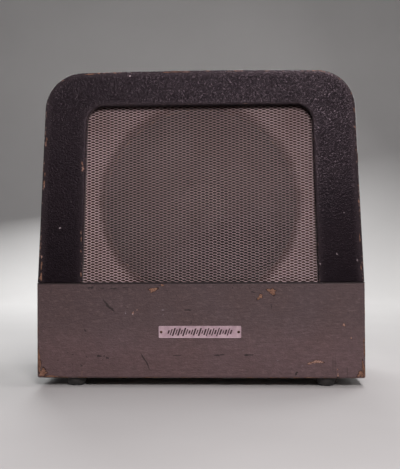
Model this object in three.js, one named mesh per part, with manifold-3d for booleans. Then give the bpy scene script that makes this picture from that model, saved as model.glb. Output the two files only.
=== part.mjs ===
// Portable cone loudspeaker in a two-tone plywood carrying case, of the kind supplied with 16 mm
// sound projectors. Millimetres, +Z up. Origin: on the table, under the middle of the case.
// The grille faces -Y, the rear panel +Y, and left is -X. The lower part of the case has nearly
// upright walls. Above the seam the sides taper inwards and the front leans back.
import * as THREE from "three";
import { mergeVertices } from "three/addons/utils/BufferGeometryUtils.js";
import Module from "manifold-3d";

const wasm = await Module();
wasm.setup();

// ---------------------------------------------------------------- driving dimensions
const FOOT_H = 13;
const CASE_H = 433;
const DEPTH = 230;
const HALF_BASE = 229; // half width at the bottom
const HALF_SEAM = 228.5; // half width at the seam
const SEAM_UP = 133.7; // seam above the case bottom
const TAPER = THREE.MathUtils.degToRad(2.2); // each side, above the seam
const LEAN = THREE.MathUtils.degToRad(3); // front, above the seam
const CORNER_R = 54; // outer top corners
const CROWN = 1.7; // rise of the top between its corners
const WALL = 9; // bent plywood wall
const BOARD = 12; // front boards, baffle and bottom board
const STEP = 1.5; // lower panel stands proud of the front frame
const EASING = 2.5; // bevel on the front edges
const GAP = 0.3; // between neighbouring pieces
const PAST = 5; // how far most cutting tools run past a face

const BOTTOM_Z = FOOT_H;
const SEAM_Z = BOTTOM_Z + SEAM_UP;
const TOP_Z = BOTTOM_Z + CASE_H;
const FRONT_Y = -DEPTH / 2;
const BACK_Y = DEPTH / 2;
const FLOOR_Z = BOTTOM_Z + BOARD + GAP; // just above the bottom board
const REAR_IN = 96; // rear panel faces, recessed in the case
const REAR_OUT = 106;

// Grille opening, in the leaning plane
const OPEN_SEAM = 165.6; // half width at the seam
const OPEN_TOP = 250; // height
const OPEN_SLOPE = 0.0288; // inward run of each side per unit of height
const OPEN_R = 24;

// Driver mounting
const DRIVER_UP = 112.4; // centre above the seam, along the leaning front
const HOLE_R = 136.5; // baffle hole
const FLANGE_R = 152.5;
const BAFFLE_Y = 16.4; // front face of the baffle, in the leaning frame
const DRIVER_SCREW = 103.2; // screws from the driver axis, in both x and z

// Handle, shared with the case top
const HANDLE_Y = 5;
const HANDLE_SCREW_X = 58;
const HANDLE_SCREW_HOLE_R = 1.9;

// ---------------------------------------------------------------- materials
const finish = (settings) => new THREE.MeshStandardMaterial(settings);
const materials = {
  darkPaint: finish({ color: 0x37323b, roughness: 0.55 }),
  greyPaint: finish({ color: 0x6d615f, roughness: 0.6 }),
  plywood: finish({ color: 0xb48a5c, roughness: 0.75 }),
  innerPly: finish({ color: 0x8e7350, roughness: 0.8 }),
  grille: finish({ color: 0xcfc4c2, roughness: 0.35, metalness: 0.9 }),
  badge: finish({ color: 0xc3b3b5, roughness: 0.3, metalness: 0.9 }),
  brass: finish({ color: 0xb08d4a, roughness: 0.35, metalness: 0.9 }),
  steel: finish({ color: 0x9a9a9c, roughness: 0.4, metalness: 0.9 }),
  plated: finish({ color: 0xb4b2ae, roughness: 0.3, metalness: 0.9 }),
  basket: finish({ color: 0x4c5456, roughness: 0.5, metalness: 0.3 }),
  paper: finish({ color: 0x2b2724, roughness: 0.9 }),
  cloth: finish({ color: 0x7d6a45, roughness: 0.9 }),
  cork: finish({ color: 0x8f6b45, roughness: 0.9 }),
  copper: finish({ color: 0xb06a3c, roughness: 0.35, metalness: 0.8 }),
  alnico: finish({ color: 0x77787a, roughness: 0.5, metalness: 0.8 }),
  paxolin: finish({ color: 0x5b3a22, roughness: 0.5 }),
  rubber: finish({ color: 0x24211f, roughness: 0.8 }),
  leather: finish({ color: 0x3a2a22, roughness: 0.65 }),
  cable: finish({ color: 0x2a2622, roughness: 0.7 }),
  bakelite: finish({ color: 0x1c1613, roughness: 0.35 }),
};

// ---------------------------------------------------------------- solids
// Welds a geometry into a closed solid with its faces turned outwards.
function toSolid(geometry) {
  const loose = geometry.index ? geometry.toNonIndexed() : geometry;
  const bare = new THREE.BufferGeometry();
  bare.setAttribute("position", loose.getAttribute("position"));
  const welded = mergeVertices(bare, 1e-4);
  const position = welded.getAttribute("position");
  const triVerts = new Uint32Array(welded.index.array);
  const corner = (i) => new THREE.Vector3().fromBufferAttribute(position, triVerts[i]);
  let volume = 0;
  for (let i = 0; i < triVerts.length; i += 3) {
    volume += corner(i).dot(corner(i + 1).cross(corner(i + 2)));
  }
  if (volume < 0) {
    for (let i = 0; i < triVerts.length; i += 3) {
      [triVerts[i + 1], triVerts[i + 2]] = [triVerts[i + 2], triVerts[i + 1]];
    }
  }
  const vertProperties = new Float32Array(position.array);
  return new wasm.Manifold(new wasm.Mesh({ numProp: 3, vertProperties, triVerts }));
}

function toGeometry(solid) {
  const { numVert, numProp, vertProperties, triVerts } = solid.getMesh();
  const vertices = new Float32Array(numVert * 3);
  for (let i = 0; i < numVert; i++) {
    vertices.set(vertProperties.subarray(i * numProp, i * numProp + 3), i * 3);
  }
  const geometry = new THREE.BufferGeometry();
  geometry.setAttribute("position", new THREE.BufferAttribute(vertices, 3));
  geometry.setIndex(new THREE.BufferAttribute(new Uint32Array(triVerts), 1));
  geometry.computeVertexNormals();
  return geometry;
}

const cut = (base, ...tools) => tools.reduce((solid, tool) => solid.subtract(tool), base);
const join = (base, ...more) => more.reduce((solid, part) => solid.add(part), base);

const boxGeometry = (x0, x1, y0, y1, z0, z1) =>
  new THREE.BoxGeometry(x1 - x0, y1 - y0, z1 - z0)
    .translate((x0 + x1) / 2, (y0 + y1) / 2, (z0 + z1) / 2);
const box = (...limits) => toSolid(boxGeometry(...limits));

// A shape drawn in x and z, given thickness along y from y0 (front) to y1 (back).
function slab(shape, y0, y1, { curveSegments = 10, bevel = 0 } = {}) {
  const geometry = new THREE.ExtrudeGeometry(shape, {
    depth: y1 - y0,
    curveSegments,
    bevelEnabled: bevel > 0,
    bevelThickness: bevel,
    bevelSize: bevel,
    bevelOffset: -bevel,
    bevelSegments: 2,
  });
  geometry.rotateX(Math.PI / 2);
  geometry.translate(0, y1 + bevel, 0);
  const solid = toSolid(geometry);
  // Only the front edge is eased: the rear bevel is cut away.
  return bevel ? cut(solid, box(-400, 400, y1, y1 + 60, -600, 600)) : solid;
}

// Lathe profiles are [radius, place along the axis]. The plain names turn about the y axis.
function lathe(profile, segments = 24) {
  const points = profile.map(([radius, y]) => new THREE.Vector2(radius, y));
  return toSolid(new THREE.LatheGeometry(points, segments));
}
const rod = (radius, y0, y1, segments = 12) =>
  lathe([[0, y0], [radius, y0], [radius, y1], [0, y1]], segments);
const ring = (inner, outer, y0, y1, segments = 24) =>
  lathe([[inner, y0], [outer, y0], [outer, y1], [inner, y1], [inner, y0]], segments);
const latheX = (profile, segments) => lathe(profile, segments).rotate([0, 0, -90]);
const rodX = (radius, x0, x1, segments) => rod(radius, x0, x1, segments).rotate([0, 0, -90]);
const latheZ = (profile, segments) =>
  lathe(profile.map(([radius, z]) => [radius, -z]), segments).rotate([-90, 0, 0]);
const rodZ = (radius, z0, z1, segments) => rod(radius, -z1, -z0, segments).rotate([-90, 0, 0]);

// Thin turned sheet: one face's profile, thickened along the axis.
function latheSheet(face, thickness, segments) {
  const otherFace = face.map(([radius, y]) => [radius, y + thickness]).reverse();
  return lathe([...face, ...otherFace, face[0]], segments);
}

const polygon = (points) => new THREE.Shape(points.map(([x, y]) => new THREE.Vector2(x, y)));

function arcPoints(centreX, centreY, radius, from, to, steps) {
  return Array.from({ length: steps + 1 }, (_, i) => {
    const angle = from + ((to - from) * i) / steps;
    return [centreX + radius * Math.cos(angle), centreY + radius * Math.sin(angle)];
  });
}

// Long shape with half-round ends, centred on x = 0.
function stadium(endX, centreY, radius) {
  const shape = new THREE.Shape();
  shape.absarc(endX, centreY, radius, -Math.PI / 2, Math.PI / 2, false);
  shape.absarc(-endX, centreY, radius, Math.PI / 2, 1.5 * Math.PI, false);
  shape.closePath();
  return shape;
}

// A section swept along a smooth path.
function sweep(points, section, steps) {
  const vectors = points.map((point) => new THREE.Vector3(...point));
  const extrudePath = new THREE.CatmullRomCurve3(vectors, false, "catmullrom", 0.5);
  const options = { steps, bevelEnabled: false, extrudePath };
  return toSolid(new THREE.ExtrudeGeometry(section, options));
}
const roundSection = (radius, sides) =>
  polygon(arcPoints(0, 0, radius, 0, 2 * Math.PI, sides).slice(0, -1));

// ---------------------------------------------------------------- groups
function addGroup(parent, x, y, z) {
  const group = new THREE.Group();
  group.position.set(x, y, z);
  parent.add(group);
  return group;
}
const root = new THREE.Group();
// The leaning front: x across, z up the slope from the seam, y into the case.
const lean = addGroup(root, 0, FRONT_Y, SEAM_Z);
lean.rotation.x = -LEAN;
lean.updateMatrix();
const driver = addGroup(lean, 0, 0, DRIVER_UP);

function add(parent, name, solid, material) {
  const mesh = new THREE.Mesh(toGeometry(solid), material);
  mesh.name = name;
  parent.add(mesh);
}

// ---------------------------------------------------------------- case
// Front view of the case, moved inwards by the inset. The bottom is at bottomZ.
function caseOutline(inset, bottomZ) {
  const radius = CORNER_R - inset;
  const cornerZ = TOP_Z - CROWN - CORNER_R;
  const sideX = HALF_SEAM - (cornerZ - SEAM_Z) * Math.tan(TAPER);
  const cornerX = sideX - CORNER_R / Math.cos(TAPER);
  const shape = new THREE.Shape();
  shape.moveTo(-(HALF_BASE - inset), bottomZ);
  shape.lineTo(HALF_BASE - inset, bottomZ);
  shape.lineTo(HALF_SEAM - inset, SEAM_Z);
  shape.absarc(cornerX, cornerZ, radius, TAPER, Math.PI / 2, false);
  shape.quadraticCurveTo(0, cornerZ + radius + 2 * CROWN, -cornerX, cornerZ + radius);
  shape.absarc(-cornerX, cornerZ, radius, Math.PI / 2, Math.PI - TAPER, false);
  shape.lineTo(-(HALF_SEAM - inset), SEAM_Z);
  shape.closePath();
  return shape;
}

// One strip of bent plywood makes both sides and the top. Its front edge follows the front.
function caseWrap() {
  const outer = slab(caseOutline(0, BOTTOM_Z), FRONT_Y, BACK_Y);
  const inner = slab(caseOutline(WALL, BOTTOM_Z - 30), FRONT_Y - PAST, BACK_Y + PAST);
  const behindBoards = BOARD + GAP;
  const leaning = boxGeometry(-300, 300, -60, STEP + behindBoards, -1, 360);
  const front = join(
    box(-300, 300, FRONT_Y - 50, FRONT_Y + behindBoards, -50, SEAM_Z),
    toSolid(leaning.applyMatrix4(lean.matrix)),
  );
  const screwHoles = [-HANDLE_SCREW_X, HANDLE_SCREW_X].map((x) =>
    rodZ(HANDLE_SCREW_HOLE_R, TOP_Z - 14, TOP_Z + PAST, 8).translate([x, HANDLE_Y, 0]));
  return cut(outer, inner, front, ...screwHoles);
}

function bottomBoard() {
  const halfWidth = HALF_BASE - WALL - 0.5;
  const y0 = FRONT_Y + BOARD + GAP;
  return box(-halfWidth, halfWidth, y0, REAR_IN - GAP, BOTTOM_Z, BOTTOM_Z + BOARD);
}

add(root, "case_wrap", caseWrap(), materials.greyPaint);
add(root, "bottom_board", bottomBoard(), materials.innerPly);

// ---------------------------------------------------------------- front
const SEAM_GAP = 0.4; // each front board stops this far from the seam

// An arch, drawn flat in the leaning plane.
function frontFrame() {
  const stretch = 1 / Math.cos(LEAN);
  const arch = caseOutline(0, SEAM_Z).getPoints(10)
    .map(({ x, y }) => [x, (y - SEAM_Z) * stretch])
    .filter(([, up]) => up > 1); // leaves out the points on the seam
  const slope = Math.atan(OPEN_SLOPE);
  const cornerUp = OPEN_TOP - OPEN_R;
  const cornerX = OPEN_SEAM - cornerUp * OPEN_SLOPE - OPEN_R / Math.cos(slope);
  const outline = polygon([
    [HALF_SEAM, SEAM_GAP],
    ...arch,
    [-HALF_SEAM, SEAM_GAP],
    [-OPEN_SEAM, SEAM_GAP],
    ...arcPoints(-cornerX, cornerUp, OPEN_R, Math.PI - slope, Math.PI / 2, 8),
    ...arcPoints(cornerX, cornerUp, OPEN_R, Math.PI / 2, slope, 8),
    [OPEN_SEAM, SEAM_GAP],
  ]);
  return slab(outline, STEP, STEP + BOARD, { bevel: EASING });
}

function lowerFrontPanel() {
  const radius = 4; // bottom corners
  const cornerX = HALF_BASE - radius;
  const cornerZ = BOTTOM_Z + radius;
  const top = SEAM_Z - SEAM_GAP;
  const shape = new THREE.Shape();
  shape.moveTo(-cornerX, BOTTOM_Z);
  shape.lineTo(cornerX, BOTTOM_Z);
  shape.absarc(cornerX, cornerZ, radius, -Math.PI / 2, 0, false);
  shape.lineTo(HALF_SEAM, top);
  shape.lineTo(-HALF_SEAM, top);
  shape.absarc(-cornerX, cornerZ, radius, Math.PI, 1.5 * Math.PI, false);
  return slab(shape, FRONT_Y, FRONT_Y + BOARD, { bevel: EASING, curveSegments: 4 });
}

// The driver's four screws, in the driver's frame.
const driverScrews = [[1, 1], [-1, 1], [-1, -1], [1, -1]]
  .map(([x, z]) => [x * DRIVER_SCREW, 0, z * DRIVER_SCREW]);

function baffleBoard() {
  const halfWidth = 208;
  const bottom = -58;
  const top = 284;
  const radius = 42; // top corners
  const cornerX = halfWidth - radius;
  const cornerUp = top - radius;
  const shape = new THREE.Shape();
  shape.moveTo(-halfWidth, bottom);
  shape.lineTo(halfWidth, bottom);
  shape.lineTo(halfWidth, cornerUp);
  shape.absarc(cornerX, cornerUp, radius, 0, Math.PI / 2, false);
  shape.lineTo(-cornerX, top);
  shape.absarc(-cornerX, cornerUp, radius, Math.PI / 2, Math.PI, false);
  shape.closePath();
  return cut(
    slab(shape, BAFFLE_Y, BAFFLE_Y + BOARD, { curveSegments: 6 }),
    rod(HOLE_R, 10, 35, 36).translate([0, 0, DRIVER_UP]),
    // Screw holes, blind from the back
    ...driverScrews.map(([x, y, z]) => rod(2.1, 19, 35, 8).translate([x, y, DRIVER_UP + z])),
  );
}

add(lean, "front_frame", frontFrame(), materials.darkPaint);
add(root, "lower_front_panel", lowerFrontPanel(), materials.greyPaint);
add(lean, "grille_mesh", box(-176, 176, 14, 16, -8, 262), materials.grille);
add(lean, "baffle_board", baffleBoard(), materials.plywood);

// Nameplate and its two round-headed pins
{
  const halfWidth = 115 / 2;
  const halfHeight = 16.8 / 2;
  const z = BOTTOM_Z + 64.6;
  const pinX = halfWidth - 3.6;
  const plate = box(-halfWidth, halfWidth, FRONT_Y - 0.9, FRONT_Y - 0.1,
    z - halfHeight, z + halfHeight);
  const holes = [-pinX, pinX].map((x) =>
    rod(1.1, FRONT_Y - 3, FRONT_Y + 3, 8).translate([x, 0, z]));
  add(root, "nameplate", cut(plate, ...holes), materials.badge);
  const pinProfile = [
    [0, -2.2], [1.1, -1.9], [1.9, -1.2], [1.9, -1.0], [0.8, -1.0], [0.8, -0.2], [0, -0.2],
  ];
  for (const [side, x] of [["left", -pinX], ["right", pinX]]) {
    const pin = lathe(pinProfile, 8).translate([x, FRONT_Y, z]);
    add(root, "nameplate_pin_" + side, pin, materials.brass);
  }
}

// ---------------------------------------------------------------- rear
const FLAP_X = 150; // opening for the cable flap: half width, bottom and top
const FLAP_Z0 = 45;
const FLAP_Z1 = 165;
// Rear panel screws: x, z
const rearScrews = [[-211, 60], [211, 60], [-208, 235], [208, 235], [-140, 427], [140, 427]];

// Frame inside the case that the rear panel is screwed to.
function rearFrame() {
  const y1 = REAR_IN - GAP;
  const y0 = y1 - 16;
  return cut(
    slab(caseOutline(WALL + 0.4, FLOOR_Z), y0, y1, { curveSegments: 8 }),
    slab(caseOutline(WALL + 17, BOTTOM_Z - 10), y0 - PAST, y1 + PAST, { curveSegments: 8 }),
  );
}

// Panel with the flap opening and six slots with rounded ends.
function rearPanel() {
  const slotRadius = 4.5;
  const slotHalfLength = 90;
  const y0 = REAR_IN - PAST;
  const y1 = REAR_OUT + PAST;
  const slots = Array.from({ length: 6 }, (_, i) => {
    const shape = stadium(slotHalfLength - slotRadius, 205 + i * 25, slotRadius);
    return slab(shape, y0, y1, { curveSegments: 3 });
  });
  return cut(
    slab(caseOutline(WALL + 0.5, BOTTOM_Z + 0.5), REAR_IN, REAR_OUT, { curveSegments: 8 }),
    box(-FLAP_X, FLAP_X, y0, y1, FLAP_Z0, FLAP_Z1),
    ...slots,
  );
}

{
  const holes = rearScrews.map(([x, z]) =>
    rod(2.1, REAR_IN - 14, REAR_OUT + PAST, 8).translate([x, 0, z]));
  const screwProfile = [
    [0, REAR_IN - 12], [1.7, REAR_IN - 9], [1.7, REAR_OUT + GAP],
    [4, REAR_OUT + GAP], [3, REAR_OUT + 2], [0, REAR_OUT + 2.5],
  ];
  rearScrews.forEach(([x, z], i) => {
    const screw = lathe(screwProfile, 8).translate([x, 0, z]);
    add(root, "rear_panel_screw_" + (i + 1), screw, materials.plated);
  });
  add(root, "rear_frame", cut(rearFrame(), ...holes), materials.innerPly);
  add(root, "rear_panel", cut(rearPanel(), ...holes), materials.darkPaint);
}

// ---------------------------------------------------------------- cable flap
// Hinged along its bottom edge, with a ball catch in its top edge.
const flap = addGroup(root, 0, 0, 0);
const FLAP_TOP = FLAP_Z1 - 2.5;
const KNOB_Z = FLAP_TOP - 28;
const CATCH_Y = (REAR_IN + REAR_OUT) / 2;
const HINGE_R = 2.6;
const HINGE_PIN_R = 1.1;
const HINGE_HALF = 132; // half length
const HINGE_Y = REAR_OUT + 0.1 + HINGE_R;
const HINGE_Z = FLAP_Z0;

function cableFlap() {
  const halfWidth = FLAP_X - 0.8;
  return cut(
    box(-halfWidth, halfWidth, REAR_IN, REAR_OUT, FLAP_Z0 + 0.8, FLAP_TOP),
    rodZ(3.9, FLAP_TOP - 15, FLAP_TOP + PAST, 12).translate([0, CATCH_Y, 0]),
    rod(2.3, REAR_IN - PAST, REAR_OUT + PAST, 8).translate([0, 0, KNOB_Z]),
  );
}

// The fixed leaf hangs down and has the even knuckles; the moving one stands up, with the odd.
function hingeLeaf(fixed) {
  const side = fixed ? -1 : 1;
  const knuckles = 7;
  const pitch = (2 * HINGE_HALF) / knuckles;
  // Leaf metal between two distances from the hinge axis
  const strip = (x0, x1, near, far) => box(x0, x1, REAR_OUT + 0.1, REAR_OUT + 1.1,
    HINGE_Z + Math.min(side * near, side * far), HINGE_Z + Math.max(side * near, side * far));
  let leaf = strip(-HINGE_HALF, HINGE_HALF, HINGE_R + 0.6, 15);
  for (let i = fixed ? 0 : 1; i < knuckles; i += 2) {
    const x0 = -HINGE_HALF + i * pitch + 0.2;
    const x1 = x0 + pitch - 0.4;
    const knuckle = rodX(HINGE_R, x0, x1, 12).translate([0, HINGE_Y, HINGE_Z]);
    leaf = join(leaf, strip(x0, x1, 0, HINGE_R + 1), knuckle);
  }
  const bore = rodX(HINGE_PIN_R + 0.25, -HINGE_HALF - PAST, HINGE_HALF + PAST, 10);
  return cut(leaf, bore.translate([0, HINGE_Y, HINGE_Z]));
}

function hingePin() {
  return rodX(HINGE_PIN_R, -HINGE_HALF, HINGE_HALF, 10).translate([0, HINGE_Y, HINGE_Z]);
}

function catchStrike() {
  const plate = box(-12, 12, CATCH_Y - 3.8, CATCH_Y + 3.8, FLAP_Z1 - 0.9, FLAP_Z1 - 0.1);
  return cut(plate, rodZ(2.1, 100, 200, 12).translate([0, CATCH_Y, 0]));
}

function catchBarrel() {
  const top = FLAP_TOP - 0.2;
  return latheZ([
    [0, top - 14], [3.6, top - 14], [3.6, top], [2.9, top], [2.9, top - 12.4], [0, top - 12.4],
  ], 12).translate([0, CATCH_Y, 0]);
}

function catchBall() {
  const radius = 2.6;
  const rise = 1; // above the flap's top edge
  const ball = new THREE.SphereGeometry(radius, 10, 6);
  return toSolid(ball.translate(0, CATCH_Y, FLAP_TOP + rise - radius));
}

function flapKnob() {
  // Radius, distance behind the rear face
  const profile = [
    [0, -8], [2, -8], [2, 0.3], [5, 0.3], [3.4, 2.6], [3.8, 4], [6.4, 5.4], [6.2, 7],
    [3.5, 8], [0, 8.2],
  ];
  return lathe(profile.map(([radius, y]) => [radius, REAR_OUT + y]), 14)
    .translate([0, 0, KNOB_Z]);
}

add(flap, "cable_flap", cableFlap(), materials.darkPaint);
add(root, "hinge_fixed_leaf", hingeLeaf(true), materials.brass);
add(flap, "hinge_moving_leaf", hingeLeaf(false), materials.brass);
add(root, "hinge_pin", hingePin(), materials.steel);
add(root, "catch_strike", catchStrike(), materials.brass);
add(flap, "catch_barrel", catchBarrel(), materials.brass);
add(flap, "catch_ball", catchBall(), materials.steel);
add(flap, "flap_knob", flapKnob(), materials.brass);

// ---------------------------------------------------------------- feet
for (const [row, y] of [["front", -92], ["rear", 80]]) {
  for (const [side, x] of [["left", -177], ["right", 177]]) {
    const top = FOOT_H - GAP;
    const foot = latheZ([[0, 0], [7, 0], [11.6, 2.2], [14.6, 7], [15, top], [0, top]], 14);
    add(root, `foot_${row}_${side}`, foot.translate([x, y, 0]), materials.rubber);
  }
}

// ---------------------------------------------------------------- carrying handle
// Folded back flat over the top of the case.
const HANDLE_Z = 455; // pivot height
const HANDLE_REACH = 34; // pivot to grip
const HANDLE_HALF = 72; // half distance between the eyes
const PLATE_Z = TOP_Z + GAP;
const PLATE_TOP = PLATE_Z + 1.6;

function handleBasePlate() {
  const ear = (x0, x1) => join(
    rodX(6, x0, x1, 14).translate([0, HANDLE_Y, HANDLE_Z]),
    box(x0, x1, HANDLE_Y - 6, HANDLE_Y + 6, PLATE_Z + 0.2, HANDLE_Z),
  );
  const screwHole = (x) =>
    rodZ(HANDLE_SCREW_HOLE_R, PLATE_Z - PAST, PLATE_Z + PAST, 8).translate([x, HANDLE_Y, 0]);
  const plate = join(
    box(-90, 90, HANDLE_Y - 11, HANDLE_Y + 11, PLATE_Z, PLATE_TOP),
    ear(-66.6, -64.6), ear(-79.4, -77.4), ear(64.6, 66.6), ear(77.4, 79.4),
  );
  const pinHole = rodX(2.8, -100, 100, 12).translate([0, HANDLE_Y, HANDLE_Z]);
  return cut(plate, pinHole, screwHole(-HANDLE_SCREW_X), screwHole(HANDLE_SCREW_X));
}

// Right-hand pivot pin, headed at both ends.
function handlePin() {
  return latheX([
    [0, 62.6], [4, 62.6], [4, 64.3], [2.5, 64.3], [2.5, 79.7], [4, 79.7], [4, 81.2], [0, 81.2],
  ], 12).translate([0, HANDLE_Y, HANDLE_Z]);
}

function handleScrew(x) {
  // Radius, height above the plate
  const profile = [[0, 1.9], [2, 1.7], [3.6, 0.3], [1.6, 0.3], [1.6, -12], [0, -14]];
  return latheZ(profile.map(([radius, z]) => [radius, PLATE_TOP + z]), 10)
    .translate([x, HANDLE_Y, 0]);
}

const BAR_HALF = 3.5; // half width of the handle's flat bar

function handleCore() {
  // Right half of the bar's path, from the eye to the grip: x, y
  const rightPath = [
    [HANDLE_HALF, 4.5],
    [HANDLE_HALF, 14],
    [HANDLE_HALF - 3, 24],
    [HANDLE_HALF - 12, HANDLE_REACH - 2],
    [HANDLE_HALF - 24, HANDLE_REACH],
  ];
  const path = [
    ...rightPath.map(([x, y]) => [-x, y, 0]),
    [0, HANDLE_REACH, 0],
    ...rightPath.map(([x, y]) => [x, y, 0]).reverse(),
  ];
  const section = polygon([[-2, -BAR_HALF], [2, -BAR_HALF], [2, BAR_HALF], [-2, BAR_HALF]]);
  const eye = (x) => rodX(5.6, x - 4.6, x + 4.6, 14);
  const bar = join(sweep(path, section, 24), eye(-HANDLE_HALF), eye(HANDLE_HALF));
  return cut(bar, rodX(2.85, -100, 100, 12));
}

function handleGrip() {
  const grip = latheX([
    [0, -44], [5.6, -44], [6.6, -40], [6.9, -20], [7.1, 0], [6.9, 20], [6.6, 40], [5.6, 44],
    [0, 44],
  ], 14).scale([1, 1.35, 0.92]).translate([0, HANDLE_REACH, 0]);
  const half = BAR_HALF + 0.5;
  return cut(grip, box(-60, 60, HANDLE_REACH - half, HANDLE_REACH + half, -2.5, 2.5));
}

add(root, "handle_base_plate", handleBasePlate(), materials.plated);
for (const [side, sign] of [["left", -1], ["right", 1]]) {
  const pin = sign < 0 ? handlePin().mirror([1, 0, 0]) : handlePin();
  add(root, "handle_pin_" + side, pin, materials.steel);
  add(root, "handle_screw_" + side, handleScrew(sign * HANDLE_SCREW_X), materials.steel);
}
const handle = addGroup(root, 0, HANDLE_Y, HANDLE_Z);
add(handle, "handle_core", handleCore(), materials.steel);
add(handle, "handle_grip", handleGrip(), materials.leather);

// ---------------------------------------------------------------- 12 inch driver
// Its axis lies along y of the driver group.
function basketBody() {
  const body = lathe([
    [134.5, 32.6], [FLANGE_R, 32.6], [FLANGE_R, 34.4], [136.5, 34.4], [131.5, 45], [112, 70],
    [86, 92], [65, 106], [34, 106], [34, 104], [62.5, 104], [84.4, 90.4], [110.2, 68.6],
    [129.3, 44], [134.5, 32.6],
  ], 32);
  const half = THREE.MathUtils.degToRad(36); // half angle of a window
  const windows = [45, 135, 225, 315].map((degrees) => {
    const middle = THREE.MathUtils.degToRad(degrees);
    return slab(polygon([
      ...arcPoints(0, 0, 122, middle - half, middle + half, 5),
      ...arcPoints(0, 0, 79, middle + half, middle - half, 3),
    ]), 36, 110);
  });
  return cut(body, ...windows);
}

{
  const gasketY = BAFFLE_Y + BOARD + GAP;
  const gasket = ring(HOLE_R + 0.5, FLANGE_R - 0.5, gasketY, gasketY + 3.1, 32);
  const holes = driverScrews.map((place) => rod(2.2, 20, 40, 8).translate(place));
  const screwProfile = [[0, 20], [1.7, 22.5], [1.7, 34.7], [4.4, 34.7], [3.4, 36.6], [0, 37.2]];
  driverScrews.forEach((place, i) => {
    const screw = lathe(screwProfile, 8).translate(place);
    add(driver, "speaker_screw_" + (i + 1), screw, materials.plated);
  });
  add(driver, "speaker_basket", cut(basketBody(), ...holes), materials.basket);
  add(driver, "speaker_gasket", cut(gasket, ...holes), materials.cork);
}

// Moving parts
const cone = [[26.2, 90], [56, 70.8], [90, 53.6], [123, 37]];
const surround = [[141, 32.05], [133.2, 32.05], [130.6, 34.6], [127.2, 33.8], [123.4, 36.2]];
const dustCap = [
  [0, 73.6], [14, 75.4], [26, 79.8], [32.6, 84.6], [32, 85.2], [25.4, 80.8], [13.8, 76.3],
  [0, 74.5],
];
const spider = [
  [59, 102.6], [53, 102.6], [47.5, 99.6], [42, 102.2], [36.5, 99.4], [31, 101.6], [26.2, 100.4],
];
add(driver, "speaker_cone", latheSheet(cone, 1.1, 32), materials.paper);
add(driver, "cone_surround", latheSheet(surround, 0.4, 32), materials.paper);
add(driver, "dust_cap", lathe(dustCap, 20), materials.paper);
add(driver, "voice_coil_former", ring(25.2, 25.8, 88.6, 124), materials.paper);
add(driver, "voice_coil_winding", ring(26.1, 26.9, 104.8, 116), materials.copper);
add(driver, "centring_spider", latheSheet(spider, 0.6, 24), materials.cloth);

// Magnet
const yoke = [[0, 106.3], [24.5, 106.3], [24.5, 142.3], [52, 142.3], [52, 152], [0, 152]];
const cover = [
  [55.6, 107.5], [57, 107.5], [57, 150], [52, 154.3], [0, 154.6], [0, 153.3], [51.6, 153.1],
  [55.6, 149.4], [55.6, 107.5],
];
add(driver, "magnet_front_plate", ring(27.8, 55, 106.3, 114.3), materials.steel);
add(driver, "magnet_ring", ring(33, 52, 114.6, 142), materials.alnico);
add(driver, "pole_yoke", lathe(yoke), materials.steel);
add(driver, "magnet_cover", lathe(cover), materials.basket);

// Tag board on the lower arm of the basket, with two flexible leads to the cone
const tagBoard = join(
  box(-19, 19, 88, 90, -118, -92.5),
  box(-16, -11, 86.6, 91.4, -126, -112),
  box(11, 16, 86.6, 91.4, -126, -112),
);
add(driver, "terminal_board", tagBoard, materials.paxolin);
// Right-hand lead: x, y, z
const leadPath = [
  [17.2, 86.8, -110], [20, 84, -100], [22, 80, -84], [20, 77.5, -66], [15, 74.9, -52],
];
for (const [side, sign] of [["left", -1], ["right", 1]]) {
  const path = leadPath.map(([x, y, z]) => [sign * x, y, z]);
  add(driver, "tinsel_lead_" + side, sweep(path, roundSection(0.9, 5), 10), materials.copper);
}

// ---------------------------------------------------------------- cable
// Wound on two posts on the bottom board.
const POST_X = 90;
const POST_Y = 28;

function cablePost(x) {
  // Radius, height above the foot of the post
  const profile = [[0, 0], [15, 0], [15, 3], [8.5, 3], [8.5, 56], [15, 57], [15, 60], [0, 60]];
  return latheZ(profile.map(([radius, z]) => [radius, FLOOR_Z + z]), 14)
    .translate([x, POST_Y, 0]);
}

function speakerCable() {
  const loop = (radius, z0, z1) => {
    const options = { depth: z1 - z0, bevelEnabled: false, curveSegments: 8 };
    const geometry = new THREE.ExtrudeGeometry(stadium(POST_X, POST_Y, radius), options);
    return toSolid(geometry.translate(0, 0, FLOOR_Z + z0));
  };
  // Free ends: x, y, z
  const driverEnd = [
    [-13, -20, 128], [-15, -10, 121], [-24, 4, 102], [-42, 10, 84], [-64, 10, 73], [-84, 10, 62],
  ];
  const plugEnd = [[70, 46, 62], [40, 58, 56], [14, 70, 44], [-16, 78, 36], [-44, 79, 34]];
  return join(
    cut(loop(26, 6, 44), loop(10, 0, 60)),
    sweep(driverEnd, roundSection(3.3, 6), 16),
    sweep(plugEnd, roundSection(3.3, 6), 14),
  );
}

add(root, "cable_post_left", cablePost(-POST_X), materials.plywood);
add(root, "cable_post_right", cablePost(POST_X), materials.plywood);
add(root, "speaker_cable", speakerCable(), materials.cable);

// Plug, pointing to -X
const plug = addGroup(root, -46, 79, 34);
const plugBody = lathe([
  [0, 0], [4.2, 0], [4.6, 2], [8, 10], [8.4, 12], [8.4, 38], [7.6, 40], [0, 40],
], 14);
const plugContact = lathe([
  [0, 40.3], [5.4, 40.3], [5.4, 42], [3.15, 42], [3.15, 62], [2.4, 64], [3.1, 67], [1.2, 71],
  [0, 71.6],
], 12);
add(plug, "plug_body", plugBody.rotate([0, 0, 90]), materials.bakelite);
add(plug, "plug_contact", plugContact.rotate([0, 0, 90]), materials.plated);

export default root;
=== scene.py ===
import math
import random

import bmesh
import bpy
import numpy as np
from mathutils import Matrix, Vector
from mathutils.bvhtree import BVHTree


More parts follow.
